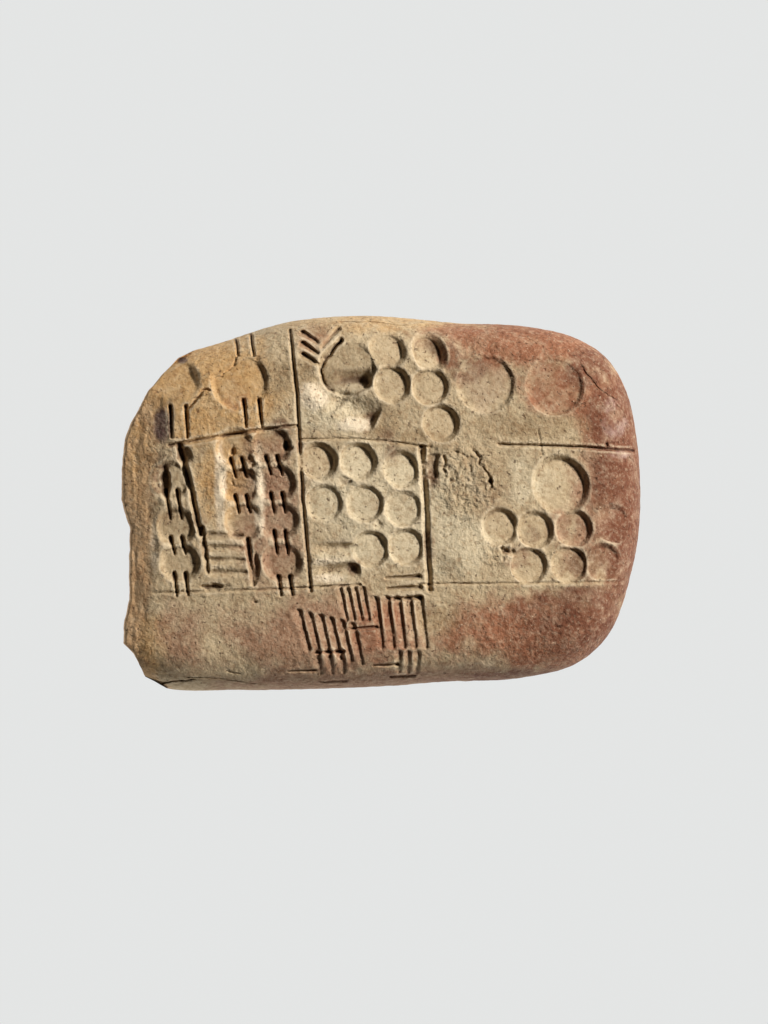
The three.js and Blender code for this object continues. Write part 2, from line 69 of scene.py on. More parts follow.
THIN_PAIR_GAP = 1.5  # between the middles of two paired bars
THICK_PAIR_GAP = 2.1
BAR_WIDTH = 0.65
BAR_DEPTH = 1.1
BAR_TAPER = 0.6  # width and depth at a bar's end, as a share of those at its head
BAR_LEAN = -0.1  # where the deepest line of a cut lies: -1 is its right side, 1 is its left side
STROKE_TAPER = 0.6
STROKE_LEAN = 0.6  # the same for a stroke cut across the direction in which the styluses leaned

SCOOP_END = 0.9  # how far the steep end of a scoop runs out
SCOOP_RUN = 0.5  # how far a scoop keeps its full depth, as a share of its length
CRACK_TAPER = 0.7  # width and depth at a crack's end, as a share of those at its start

SLOPE_STEP = 0.4  # how far to each side the face is measured to find its slope

# The outline of the tablet before it broke, at its widest section, anticlockwise from the right end.
OUTLINE = [
    (35.1, 1.0), (34.7, 8.0), (33.3, 14.8), (30.6, 19.5), (26.0, 22.4), (19.0, 23.9), (10.0, 24.3),
    (5.0, 24.8), (-1.0, 25.25), (-7.0, 25.1), (-13.0, 24.3), (-21.0, 21.8), (-27.4, 19.7), (-33.4, 16.2),
    (-37.2, 10.8), (-38.9, 4.0), (-39.0, -6.0), (-38.4, -15.0), (-36.0, -21.4), (-29.6, -24.8),
    (-18.5, -25.2), (-3.0, -24.9), (9.0, -24.1), (19.3, -23.55), (26.9, -21.4), (31.1, -17.3),
    (33.3, -11.5), (34.75, -5.0),
]

# The broken end. Each pair is a height Y and how far left the clay still reaches there:
# first at the foot of the break, down on the body, and then along its top, where it meets the face.
BREAK_FOOT = [
    (-26.0, -27.3), (-24.5, -29.3), (-23.3, -31.5), (-20.2, -33.1), (-18.8, -34.5), (-15.7, -34.3),
    (-13.0, -33.7), (-3.1, -33.6), (-1.6, -34.2), (0.5, -34.7), (4.4, -34.7), (8.5, -34.3), (10.5, -33.6),
    (15.2, -31.0), (17.0, -29.5), (19.5, -27.1), (21.0, -24.0),
]
BREAK_TOP = [
    (-26.0, -26.5), (-23.8, -29.6), (-19.5, -30.6), (-6.3, -30.0), (4.0, -29.6), (9.8, -28.6), (15.0, -28.2),
    (20.0, -25.0), (21.5, -22.5),
]
# The profile of the break: how far it has run from its foot towards its top, and how high Z it is there.
BREAK_PROFILE = [(0, 13.4), (0.01, 14.6), (0.03, 15.3), (0.07, 15.65), (1, 16.8), (1.3, 17.5)]

# ------------ what was pressed into the face

# Round marks: middle, and depth on the deep and on the shallow side.
THICK_MARKS = [
    (-27.9, 16.0, 0.85, 0.3),
    (-18.8, 16.3, 0.7, 0.4),
    (-4.4, 18.2, 0.5, 0.7),
    (14.2, 16.0, 0.45, 0.35),
    (23.5, 15.7, 0.62, 0.3),
    (24.4, 2.5, 1.1, 0.3),
]
THIN_MARKS = [
    (1.0, 20.4, 1.0, 0.4),
    (6.8, 20.3, 1.7, 0.6),
    (1.6, 15.9, 0.8, 0.45),
    (6.7, 15.6, 0.75, 0.45),
    (8.2, 10.7, 0.9, 0.5),
    (-8.2, 5.6, 1.05, 0.35),
    (-2.9, 5.6, 0.95, 0.35),
    (2.9, 4.5, 1.0, 0.5),
    (-7.5, 0.0, 0.5, 0.45),
    (-2.0, -0.1, 0.55, 0.5),
    (3.1, -0.8, 0.45, 0.45),
    (-1.3, -6.2, 0.65, 0.5),
    (3.5, -5.9, 0.65, 0.4),
    (16.1, -3.2, 0.75, 0.5),
    (20.8, -3.6, 0.75, 0.5),
    (26.0, -3.4, 0.75, 0.4),
    (31.4, -2.8, 0.75, 0.4),
    (20.0, -8.4, 0.65, 0.5),
    (25.4, -8.3, 0.6, 0.4),
    (29.9, -7.9, 0.75, 0.4),
]

# Scoops made with the side of a stylus: the steep end and the heading in which the scoop runs out, the
# widths of the bank on the left of that heading and of the wall on its right, and depth and length.
SCOOPS = [
    (-2.1, 16.5, 184, 1.5, 1.9, 1.3, 5.2),
    (-5.7, 13.8, 135, 2.4, 2.4, 1.1, 5.0),
    (-1.1, 11.6, 155, 2.8, 2.6, 1.15, 6.3),
    (-3.4, -5.9, 182, 1.9, 0.9, 0.9, 6.2),
    (-3.5, -8.7, 184, 1.8, 1.1, 1.1, 5.8),
]

# Marks of the thin stylus one under the other, each linked to the next by a pair of bars.
LINKED_MARKS = [
    [(-28.0, 3.1), (-27.4, -3.2), (-26.8, -8.0)],
    [(-19.3, 7.4), (-18.7, 2.4), (-18.2, -2.4)],
    [(-14.6, 7.7), (-13.9, 2.7), (-13.5, -2.4), (-13.1, -7.9)],
]
LINKED_DEEP = 0.6
LINKED_SHALLOW = 0.85
LINKED_WALL = 0.7  # their walls run out equally far all round
LINKED_BAR_START = 1.4  # how far below the upper mark's middle a linking bar starts
LINKED_BAR_END = 1.1  # how far above the lower mark's middle it ends

# Pairs of bars on their own: middle of the upper and of the lower end, and the gap between the two bars.
BAR_PAIRS = [
    ((-18.5, 23.4), (-18.0, 19.8), THICK_PAIR_GAP),
    ((-17.3, 13.8), (-16.9, 10.2), THICK_PAIR_GAP),
    ((-27.1, 13.0), (-26.9, 8.8), THICK_PAIR_GAP),
    ((-26.9, -9.4), (-26.5, -12.4), THIN_PAIR_GAP),
    ((-12.9, -9.8), (-12.5, -12.4), THIN_PAIR_GAP),
]

# The lines that divide the face into cases: path, first and last width, first and last depth, and lean.
RULINGS = [
    ([(-28.2, 7.7), (-23.7, 8.5), (-16.0, 9.8), (-11.2, 10.4)], (0.75, 0.5), (0.65, 0.45), 0.3),
    ([(-10.6, 8.5), (-4.7, 8.6), (0.7, 8.3), (6.7, 7.5)], (0.4, 0.4), (0.25, 0.25), 0.3),
    ([(15.9, 7.85), (25.0, 7.6), (34.1, 7.0)], (0.5, 0.55), (0.6, 0.65), 0.2),
    ([(-31.2, -12.1), (-14.0, -11.6), (-2.7, -11.0)], (0.4, 0.4), (0.35, 0.35), 0.3),
    ([(5.0, -10.9), (18.0, -10.8), (32.8, -10.6)], (0.35, 0.35), (0.25, 0.3), 0.3),
    ([(-12.1, 23.2), (-11.2, 14.5), (-10.4, 0.4), (-9.3, -11.8)], (0.6, 0.6), (0.65, 0.6), 0.1),
    ([(5.6, 7.4), (5.9, 3.2), (6.2, -1.0), (6.3, -5.0), (6.7, -11.6)], (1.1, 0.9), (0.75, 0.65), -0.2),
    ([(-26.9, 7.6), (-25.4, 1.9), (-24.2, -4.2)], (1.1, 0.8), (1.0, 0.8), 0.1),
]

# Rows of plain strokes: first and last head, how many, the run of each, and width and depth at its head.
STROKE_ROWS = [
    ((-10.4, 22.8), (-10.3, 19.8), 3, (1.9, -1.2), 1.1, 0.8),
    ((-5.6, 23.4), (-5.3, 21.9), 2, (-2.2, -2.4), 0.9, 0.7),
    ((-23.0, -4.4), (-22.4, -9.4), 4, (4.4, 0.0), 1.2, 0.6),
    ((-24.0, -3.4), (-17.9, -5.0), 2, (0.9, -6.0), 1.0, 1.1),
    ((-5.4, -11.7), (-2.4, -11.6), 4, (0.9, -4.0), 0.95, 0.4),
    ((-11.0, -14.8), (-3.8, -16.6), 6, (1.3, -4.9), 1.35, 0.42),
    ((-8.6, -20.2), (-5.4, -20.0), 3, (0.5, -2.6), 1.3, 0.35),
    ((5.2, -9.9), (5.5, -12.7), 3, (-4.4, -0.2), 0.8, 0.7),
    ((-0.7, -13.1), (5.2, -13.0), 5, (0.9, -6.2), 1.4, 0.42),
    ((2.5, -20.2), (5.0, -20.3), 3, (0.0, -2.4), 1.1, 0.35),
    ((-0.5, -16.7), (-4.9, -19.9), 2, (-3.8, -0.2), 0.6, 0.6),
    ((2.4, -21.7), (4.7, -23.2), 2, (-3.3, -0.15), 0.6, 0.6),
    ((-8.7, -22.5), (-4.5, -23.9), 2, (-3.6, -0.1), 0.5, 0.5),
]

# What the solid leaves out: the clay raised round each mark or cut, and how their sides curve.
ROUND_LIP = 0.06  # how high the clay stands round a round mark
ROUND_LIP_WIDTH = 0.5
LIP_START = 0.6  # how far up a wall the lip starts, as a share of the wall
CUT_LIP = 0.08  # how high it stands beside a bar or a ruled line
STROKE_LIP = 0.05
CUT_LIP_GAP = 0.15  # between the side of a cut and the top of its lip
CUT_LIP_WIDTH = 0.2
CUT_REACH = 1.5  # how far from its path, beyond its width, a cut can change the face
WALL_CURVE = 0.65  # 1 is a straight wall, less is steeper at its foot
CUT_CURVE = 0.8  # the same for the sides of a cut

# ------------ damage

# Cracks: path, and width and depth at its start.
CRACKS = [
    ([(-5.4, 24.3), (-1.6, 24.4), (2.7, 23.9), (6.6, 23.9)], 0.22, 0.4),
    ([(-19.3, 19.6), (-19.6, 18.5), (-20.9, 17.6), (-21.3, 17.0), (-22.1, 16.8)], 0.28, 0.45),
    ([(-25.6, 12.8), (-24.6, 14.1), (-23.8, 15.2), (-22.9, 15.1)], 0.55, 0.7),
    ([(-21.9, 15.2), (-21.3, 13.4)], 0.3, 0.25),
    ([(-13.2, 17.9), (-11.8, 17.9)], 0.2, 0.25),
    ([(27.0, 18.6), (28.3, 16.8), (29.6, 15.2), (30.9, 14.4), (32.6, 13.6)], 0.22, 0.4),
    ([(31.8, 13.1), (33.0, 11.5)], 0.2, 0.3),
    ([(21.3, 9.9), (21.7, 7.7), (21.8, 6.4)], 0.2, 0.35),
    ([(25.7, 8.7), (25.8, 7.6)], 0.15, 0.25),
    ([(27.2, 7.0), (27.1, 6.0)], 0.2, 0.3),
    ([(17.6, 19.1), (21.5, 19.3)], 0.15, 0.2),
    (
        [(-5.2, 21.7), (-6.2, 20.6), (-7.3, 19.3), (-7.9, 17.8), (-7.7, 16.6), (-7.0, 15.3), (-6.3, 14.9)],
        0.5, 0.7,
    ),
    ([(8.5, 6.3), (9.2, 6.6), (10.2, 6.9), (11.2, 6.6), (11.7, 6.2)], 0.3, 0.4),
    ([(8.5, 6.3), (8.5, 4.7), (8.9, 3.6), (9.7, 3.0)], 0.45, 0.6),
    ([(12.5, 7.1), (13.5, 6.1), (13.6, 5.1), (14.1, 4.4), (14.8, 3.4), (14.9, 2.8), (14.5, 1.7)], 0.4, 0.6),
    ([(10.9, 0.8), (11.6, 0.2)], 0.3, 0.3),
    ([(10.7, -2.4), (11.9, -2.4)], 0.25, 0.3),
    ([(-29.2, -24.2), (-26.9, -23.8), (-24.9, -23.7)], 0.3, 0.5),
    ([(-20.5, -22.5), (-18.8, -22.9)], 0.25, 0.4),
    ([(-24.2, 1.4), (-23.2, 1.4)], 0.25, 0.25),
    ([(-19.9, 2.9), (-19.5, 2.2), (-17.9, 2.0)], 0.25, 0.35),
    ([(-25.9, -23.4), (-16.0, -24.3)], 0.15, 0.25),
    ([(-6.5, 8.9), (-4.5, 9.0), (-2.0, 8.6)], 0.15, 0.2),
]
CRACK_SWAY = 0.12  # how far a crack strays from its path

# Hollows where the face has flaked: middle, size across X and Y, and depth.
FLAKES = [
    (7.0, 4.9, 1.8, 5.4, 0.6), (9.9, 3.6, 1.4, 1.8, 0.4), (14.7, 3.0, 0.9, 0.9, 0.6),
    (16.6, -6.4, 1.2, 1.4, 0.6), (17.7, -6.6, 1.4, 1.2, 0.4), (-16.6, -8.6, 1.0, 4.6, 0.6),
    (-22.0, -11.3, 5.0, 0.9, 0.8), (-28.8, 3.0, 1.4, 5.0, 0.9), (-26.4, 6.4, 2.2, 2.6, 0.7),
    (-19.8, 6.9, 0.9, 1.2, 0.5), (-17.2, 5.6, 1.6, 2.0, 0.45), (-12.4, 7.7, 1.4, 1.8, 0.7),
    (-16.8, -13.3, 0.5, 0.4, 0.4), (30.4, 7.8, 0.6, 0.8, 0.5), (-4.7, 3.0, 2.2, 1.4, 0.3),
    (-0.2, -3.0, 1.4, 1.6, 0.3), (-16.4, 19.5, 0.8, 0.8, 0.2),
]
FLAKE_RAGGED = 0.35  # how ragged a flake's edge is, as a share of its half size
FLAKE_TOOTH = 1.2  # size of the teeth of that edge

# Rough patches, where the skin of the clay is gone: middle, size across X and Y, and height of the bumps.
ROUGH_PATCHES = [
    (11.6, 2.6, 10, 11, 0.15), (15.5, -6.5, 5, 5, 0.14), (-16.5, 5, 10, 9, 0.12), (22, -18, 26, 9, 0.05),
    (-6, 13.5, 9, 6, 0.08), (-7.5, -8, 8, 5, 0.1), (-29.5, 7, 5, 12, 0.1), (20, 21, 30, 5, 0.06),
]
ROUGHEST = 0.15
ROUGH_GRAIN = 0.9  # size of the bumps
ROUGH_SEED = 15
CREASE_DEPTH = 2.2  # how deep the creases between the bumps are, against their height
STEP_HEIGHT = 0.8  # the same for the steps of torn clay
STEP_SIZE = 2.4  # how much larger than the bumps the steps are
STEP_COUNT = 1.6  # how many steps there are from the middle height up

# A low swelling of the face, squeezed up when the marks round it were pressed: middle, size and rise.
MOUND = (11.2, -7.4, 9, 8.5, 0.5)

# Where a hollow, a rough patch, the mound or a colour fades out: 0 is its middle and 1 its edge.
DAMAGE_FADE = (0.5, 1.1)
MOUND_FADE = (0.1, 1)
COLOUR_FADE = (0.4, 1.15)

BREAK_OVERRUN = 0.3  # how far past its top the break still wears the face, as a share of its width
FOOT_SET_IN = 0.04  # how far inside the solid's the foot of the break lies
RIB_HEIGHT = 0.16  # how far the worn ribs of the break stand out on its slope
RIB_REACH = 0.06  # and on its steep side
RIB_SIZE = 1.1
RIB_STRETCH = (1, 0.3, 0.3)
RIB_RISE = (12.5, 15)  # between these heights the ribs set in
RIB_SEED = 41

# The clay's unevenness: how high it stands, or how far it sways what was pressed into the face, and then
# the size of its features, how many layers of ever finer ones it has, and its seed.
UNEVENNESS = {
    "swell": (0.18, 9, 1, 11),
    "dents": (0.09, 3.5, 3, 12),
    "sway_x": (0.07, 1.7, 1, 13),
    "sway_y": (0.07, 1.7, 1, 14),
    "rough_edge": (0.2, 3, 1, 16),
    "grain": (0.05, 1.1, 3, 31),
    "back": (0.1, 6, 1, 35),
    "foot": (0.14, 2.2, 4, 43),
}
RELIEF_FADE = (0.05, 0.7)  # the relief sets in between these distances inside the outline
RESTING_FADE = 1.5  # and the grain of the back between the resting spot and this height
SKIN = 0.1  # how far inside the solid's the finished surface lies
OUTWARD_RISE = 3  # how much steeper than a ray from the middle the grain stands

# ------------ colours

# Patches of colour: middle, size across X and Y, and strength. Some are painted light: highlights on banks
# that face the key light, shade beside the marks and glints.
PATCHES = {
    "ochre": [
        (-22.5, 15.5, 25, 22, 0.9), (-21, 3, 9, 16, 0.9), (2, 24.5, 50, 4, 0.5), (-30, -19, 6, 12, 0.7),
        (-32, 6, 6, 16, 0.6), (33, -7, 3, 8, 0.6),
    ],
    "mauve": [
        (-14.5, -2, 12, 26, 0.9), (-7, -18, 36, 15, 1), (-27, -18, 10, 13, 0.7), (14, 2, 5, 6, 0.4),
        (2, -24.5, 56, 7, 1), (14.2, 16, 9, 9, 0.6), (-4, 15.8, 6, 5, 0.6), (29, 1, 9, 20, 1),
        (24, -2.9, 5, 5, 0.7), (18.3, -7.3, 5, 4.6, 0.5),
    ],
    "terracotta": [
        (36, 2, 15, 46, 1), (23, -18, 36, 14, 1), (22, 21.6, 38, 8.6, 1), (23.4, 15.6, 13, 12, 0.85),
        (1, -17, 12, 10, 0.7), (9.3, 20, 4.5, 5, 1), (-9, 22, 7, 5, 0.6), (-19.5, 14, 5, 4, 0.4),
        (30, 13, 11, 14, 1), (28, -7, 13, 9, 0.5),
    ],
    # Pale clay in the middle of the face; the last four patches are painted highlights on the scoops' banks,
    # which face the key light.
    "cream_and_highlight": [
        (0, 0, 24, 24, 1), (-6, 12.5, 13, 9, 1), (10, -6, 13, 13, 1), (18, 3, 16, 9, 0.7),
        (13.5, -21.8, 10, 3, 0.4), (14, 15, 9, 8, 0.4), (-8.6, 14.4, 4.5, 4.5, 1),
        (-3.2, 10.8, 6.5, 3.2, 1), (-6.5, -7.3, 7, 2.4, 1), (-6.5, -10, 6, 2, 1),
    ],
    "russet": [
        (33.5, 2, 12, 42, 1), (27, -16, 20, 12, 0.9), (31, 12, 9, 12, 1), (12, 18, 6, 5, 0.5),
        (20, -24, 30, 4, 0.8), (28.5, 18, 9, 8, 0.9), (27, -12.6, 16, 4.5, 0.8), (31, -15.5, 6, 8, 0.9),
    ],
    "khaki": [
        (-0.5, 10.6, 8, 5, 1), (5.5, 8.2, 9, 4, 0.9), (20, 10.5, 20, 4, 0.8), (-10.2, 17, 4, 10, 0.7),
        (15.5, 3, 6, 9, 0.8), (-13.7, 17, 5, 7, 0.7), (-27.5, -2, 10, 8, 0.6), (7, -15.5, 8, 6, 0.8),
        (18.5, -2.5, 5, 5, 0.4), (-9, 23.5, 12, 3, 0.5),
    ],
    # Darker clay, and painted shade beside the marks and at the steep ends of the scoops.
    "umber_and_shade": [
        (6.9, 4.3, 3, 6.5, 0.8), (9.4, 20, 3.5, 4, 0.6), (-13.2, 10, 4, 3.6, 0.8), (6.6, -6, 2.4, 7, 0.6),
        (-3.6, -8.6, 2.6, 2.6, 0.7), (-29.2, 4, 3, 10, 0.5), (-1.4, 11.4, 2, 2.2, 0.6),
        (-26.4, -2, 6, 5, 0.4), (27.8, -7.9, 9, 5, 0.7), (31, -2.8, 5, 5, 0.4), (1.3, 6.6, 3.2, 3.2, 0.6),
        (-26.8, 7, 4, 3.5, 0.7), (-23.6, -4.5, 2.4, 8, 0.5), (26, -3.4, 4, 4, 0.3),
        (7.4, 21.4, 3.6, 3.6, 0.7), (0.8, 8.8, 3, 3, 0.5), (-25, -2.4, 3.6, 6, 0.4),
        (15.4, 0.7, 6, 5.5, 0.4), (20.3, -4.4, 4, 4, 0.4), (20.2, -7.4, 9, 4, 0.3),
        (5.4, -13.9, 5, 3, 0.4), (29.9, -13.9, 4, 4, 0.4), (-5.7, -5.8, 3, 5, 0.35),
    ],
    # Painted highlights on the banks of the scoops and on the left banks of the linked marks, which face the
    # key light.
    "bank_highlight": [
        (-8.7, 14.2, 4.6, 4.2, 0.9), (-3.4, 10.5, 6, 2.8, 0.9), (-7, -7.9, 6, 1.7, 0.8),
        (-7.2, -10.1, 5.5, 1.5, 0.8), (-21.4, 2, 2, 14, 0.8), (-16.2, 1.5, 1.8, 17, 0.8),
        (-30.3, -6, 1.6, 8, 0.5),
    ],
    # A pale film near the right edge, with painted glints on it.
    "film_and_glints": [(31.2, 13.2, 4, 3, 0.4), (31.8, 10.4, 4, 4, 0.4), (32.2, 6.5, 4, 1.4, 0.5)],
    "stain": [
        (-29.2, 10.2, 3.4, 6, 1), (-31, 3.5, 5, 13, 0.3), (-26.5, 19.2, 1.8, 1.2, 1), (-5, 2.9, 3, 1.6, 0.5),
    ],
}
PATCH_RAGGED = 0.2  # how ragged the edge of a patch is, as a share of its half size
PATCH_TOOTH = 6  # size of the teeth of that edge
COLOUR_SEED = 60
ROUGH_COLOUR_SEED = 59
MARK_FLOOR_FADE = (0.85, 1.02)  # where a mark's smooth floor ends, as shares of its radius
BROKEN_FADE = 0.6  # how far up the break its colour starts to fade
BROKEN_REACH = 0.5  # how far past the top of the break it ends
FACE_BLEND = 3  # how far above the widest section the face's painted shade, pale edges and roughness are fully there

# ------------ how fine the mesh is

FACE_EDGE = 0.5  # the longest edge on the face
SIDE_EDGE = 0.9  # and elsewhere
FACE_START = 4  # how far above the widest section the face's finer mesh starts
FINEST_EDGE = 0.13  # no edge shorter than this is split
MESH_ERROR = 0.012  # an edge is split where the clay lies further than this from its middle
MOST_TRIANGLES = 195000
ENOUGH = 0.97  # the mesh is finished once it has this share of them
FACE_TURN = 0.4  # share of the climb from the widest section to the middle in which the face turns over
BACK_TURN = 0.6

# How low each point lies is measured on a grid, against the mean height within a radius round it.
HOLLOW_GRID = 0.16  # from one line of the grid to the next
GRID_REACH = (0.6 * LENGTH, 0.42 * LENGTH)  # from the middle to its ends, across X and Y
HOLLOW_RADII = {"crevice": 0.45, "hollow": 1.8}

# ------------ small tools

NOISE_WRAP = 255  # the noise repeats after one cell more than this
NOISE_GAIN = 1.6


def smooth(value, low, high):
    """0 below low, 1 above high and a smooth step between them."""
    t = np.clip((value - low) / (high - low), 0, 1)
    return t * t * (3 - 2 * t)


def lerp(a, b, share):
    return a + (b - a) * share


def gradient_noise(points, size, seed):
    """Smooth noise between about -1 and 1, whose features are about size across."""
    rng = np.random.default_rng(seed)
    gradients = rng.normal(size=(NOISE_WRAP + 1, 3))
    gradients /= np.linalg.norm(gradients, axis=1)[:, None]
    shuffle = rng.permutation(NOISE_WRAP + 1)
    scaled = points / size
    cell = np.floor(scaled).astype(np.int64)
    inside = scaled - cell
    fade = inside**3 * (inside * (inside * 6 - 15) + 10)
    total = np.zeros(len(points))
    for corner in np.ndindex(2, 2, 2):
        i, j, k = (cell + corner).T
        row = shuffle[(shuffle[i & NOISE_WRAP] + j) & NOISE_WRAP]
        pick = shuffle[(row + k) & NOISE_WRAP]
        weight = np.prod(np.where(corner, fade, 1 - fade), axis=1)
        total += weight * np.einsum("ij,ij->i", gradients[pick], inside - corner)
    return NOISE_GAIN * total


def layered_noise(points, size, seed, layers=3):
    """Noise with finer and weaker layers added."""
    return sum(gradient_noise(points, size / 2**n, seed + n) / 2**n for n in range(layers))


def ridged(points, size, seed):
    """Noise with sharp creases and steps, as on torn clay."""
    creases = 1 - CREASE_DEPTH * np.abs(layered_noise(points, size, seed))
    steps = np.round(STEP_COUNT * layered_noise(points, STEP_SIZE * size, seed + 7))
    return creases + STEP_HEIGHT * steps


def uneven(points, name):
    """One kind of the clay's unevenness, as a height."""
    height, size, layers, seed = UNEVENNESS[name]
    return height * layered_noise(points, size, seed, layers)


def reach_in(x, y, patch):
    """How far out each point lies in a patch: 0 in its middle and 1 on its edge."""
    cx, cy, size_x, size_y, _ = patch
    return np.hypot((x - cx) / (size_x / 2), (y - cy) / (size_y / 2))


# ------------ the form of the clay


def closed_curve(points, per_span=50):
    """A centripetal Catmull-Rom curve through the points, closed."""
    p = np.array(points, float)
    p0, p1, p2, p3 = np.roll(p, 1, 0), p, np.roll(p, -1, 0), np.roll(p, -2, 0)
    d0, d1, d2 = (np.linalg.norm(b - a, axis=1)[:, None] ** 0.5 for a, b in ((p0, p1), (p1, p2), (p2, p3)))
    t1 = ((p1 - p0) / d0 - (p2 - p0) / (d0 + d1) + (p2 - p1) / d1) * d1
    t2 = ((p2 - p1) / d1 - (p3 - p1) / (d1 + d2) + (p3 - p2) / d2) * d1
    t = (np.arange(per_span) / per_span)[None, :, None]
    p1, p2, t1, t2 = (v[:, None, :] for v in (p1, p2, t1, t2))
    curve = p1 + t1 * t + (3 * (p2 - p1) - 2 * t1 - t2) * t**2 + (2 * (p1 - p2) + t1 + t2) * t**3
    return curve.reshape(-1, 2)


def outline_table():
    """The outline's angle, radius and distance from the middle to its tangent."""
    curve = closed_curve(OUTLINE)
    ahead = np.roll(curve, -1, 0) - np.roll(curve, 1, 0)
    outward = np.stack([ahead[:, 1], -ahead[:, 0]], 1) / np.linalg.norm(ahead, axis=1)[:, None]
    angle = np.arctan2(curve[:, 1], curve[:, 0])
    order = np.argsort(angle)
    return angle[order], np.linalg.norm(curve, axis=1)[order], np.sum(curve * outward, axis=1)[order]


OUTLINE_ANGLE, OUTLINE_RADIUS, OUTLINE_SUPPORT = outline_table()


def outline_at(angle):
    radius = np.interp(angle, OUTLINE_ANGLE, OUTLINE_RADIUS, period=2 * math.pi)
    support = np.interp(angle, OUTLINE_ANGLE, OUTLINE_SUPPORT, period=2 * math.pi)
    return radius, support


def distance_inside(x, y):
    radius, support = outline_at(np.arctan2(y, x))
    return np.maximum(0, 1 - np.hypot(x, y) / radius) * support


def roll(share):
    """How high the clay has risen from its widest section, where 1 is the end of the roll."""
    return (1 - (1 - np.minimum(share, 1)) ** ROLL_POWER) ** (1 / ROLL_POWER)


def face_height(x, y):
    crown = FACE_CROWN * (2 * x / LENGTH) ** 2
    return WIDEST_Z + (THICKNESS - WIDEST_Z - crown) * roll(distance_inside(x, y) / FACE_ROLL)


def back_height(x, y):
    return WIDEST_Z * (1 - roll(distance_inside(x, y) / BACK_ROLL))


def face_normal(x, y):
    step = SLOPE_STEP
    slope_x = (face_height(x + step, y) - face_height(x - step, y)) / (2 * step)
    slope_y = (face_height(x, y + step) - face_height(x, y - step)) / (2 * step)
    normal = np.array([-slope_x, -slope_y, 1.0])
    return normal / np.linalg.norm(normal)


def cushion_points(directions):
    """The cushion's surface point for each direction of a unit sphere: its upper half makes the face."""
    angle = np.arctan2(directions[:, 1], directions[:, 0])
    radius, support = outline_at(angle)
    climb = np.arcsin(np.clip(directions[:, 2], -1, 1)) / (math.pi / 2)
    is_face = climb >= 0
    width = np.where(is_face, FACE_ROLL, BACK_ROLL)
    turn_share = np.where(is_face, FACE_TURN, BACK_TURN)
    climb = np.abs(climb)
    turn = np.minimum(climb / turn_share, 1) * math.pi / 2
    past_turn = np.maximum(0, climb - turn_share) / (1 - turn_share)
    reach = radius * (1 - width * (1 - np.cos(turn)) / support) * (1 - past_turn)
    x, y = reach * np.cos(angle), reach * np.sin(angle)
    z = np.where(is_face, face_height(x, y), back_height(x, y))
    return np.stack([x, y, z], 1), is_face


# ------------ relief of the face


def press_round(z, x, y, mark, diameter, wall=None):
    """The end of a leaning stylus: a flat floor, and a wall that is wider where the mark is deeper."""
    cx, cy, deep, shallow = mark
    near = np.hypot(x - cx, y - cy) < diameter
    dx, dy = x[near] - cx, y[near] - cy
    normal = face_normal(cx, cy)
    along = dx * math.cos(DEEP_SIDE) + dy * math.sin(DEEP_SIDE)
    across = dy * math.cos(DEEP_SIDE) - dx * math.sin(DEEP_SIDE)
    plain = face_height(cx, cy) - (normal[0] * dx + normal[1] * dy) / normal[2]
    floor = plain - (deep + shallow) / 2 - (deep - shallow) / diameter * along
    radius = MARK_FLOOR * diameter / 2
    squeeze = 1 - FORESHORTENING * deep**2
    stretched = (along + radius * (1 - squeeze)) / squeeze
    reach = np.hypot(stretched, across)
    if wall is None:
        deepness = (1 + stretched / np.maximum(reach, 1e-6)) / 2
        wall = lerp(SHALLOW_WALL, LEAST_WALL + DEEP_WALL * deep, deepness)
    climb = np.clip((reach - radius) / wall, 0, 1)
    pressed = np.minimum(z[near], lerp(floor, z[near], climb**WALL_CURVE))
    lip = np.exp(-(((reach - radius - wall) / ROUND_LIP_WIDTH) ** 2)) * smooth(climb, LIP_START, 1)
    z[near] = pressed + ROUND_LIP * lip
    return z


def press_scoop(z, x, y, scoop):
    """A trough that starts at a steep end and dies out along its heading, with a wide bank on its left."""
    cx, cy, heading, bank, wall, depth, length = scoop
    turn = math.radians(heading)
    dx, dy = x - cx, y - cy
    along = dx * math.cos(turn) + dy * math.sin(turn)
    across = dy * math.cos(turn) - dx * math.sin(turn)
    end = 1 - np.clip(-along / SCOOP_END, 0, 1) ** 2
    run = 1 - smooth(along / length, SCOOP_RUN, 1)
    side = 1 - smooth(np.where(across > 0, across / bank, -across / wall), 0, 1)
    return z - depth * end * run * side


def along_path(x, y, path):
    """Each point's nearest place on a path: the distance, positive on its left, and the share run so far."""
    points = np.array(path, float)
    legs = np.diff(points, axis=0)
    lengths = np.linalg.norm(legs, axis=1)
    before = np.concatenate([[0], np.cumsum(lengths)]) / lengths.sum()
    best = np.full(len(x), np.inf)
    side = np.zeros(len(x))
    share = np.zeros(len(x))
    for start, leg, length, first, last in zip(points, legs, lengths, before, before[1:]):
        dx, dy = x - start[0], y - start[1]
        t = np.clip((dx * leg[0] + dy * leg[1]) / length**2, 0, 1)
        distance = np.hypot(dx - t * leg[0], dy - t * leg[1])
        closer = distance < best
        best = np.where(closer, distance, best)
        side = np.where(closer, np.sign(leg[0] * dy - leg[1] * dx), side)
        share = np.where(closer, lerp(first, last, t), share)
    return best * side, share


def near_path(x, y, path, margin):
    points = np.array(path)
    low, high = points.min(0) - margin, points.max(0) + margin
    return (x > low[0]) & (x < high[0]) & (y > low[1]) & (y < high[1])


def cut(z, x, y, path, widths, depths, lean, lip=0.0):
    """A groove whose width and depth run evenly from first to last, with its deepest line at lean."""
    near = near_path(x, y, path, CUT_REACH + max(widths))
    distance, share = along_path(x[near], y[near], path)
    half = lerp(widths[0], widths[1], share) / 2
    depth = lerp(depths[0], depths[1], share)
    offset = distance / half
    section = np.where(offset < lean, (1 + offset) / (1 + lean), (1 - offset) / (1 - lean))
    section = np.clip(section, 0, 1) ** CUT_CURVE
    raised = lip * np.exp(-(((np.abs(distance) - half - CUT_LIP_GAP) / CUT_LIP_WIDTH) ** 2))
    z[near] += np.where(section > 0, -depth * section, raised)
    return z


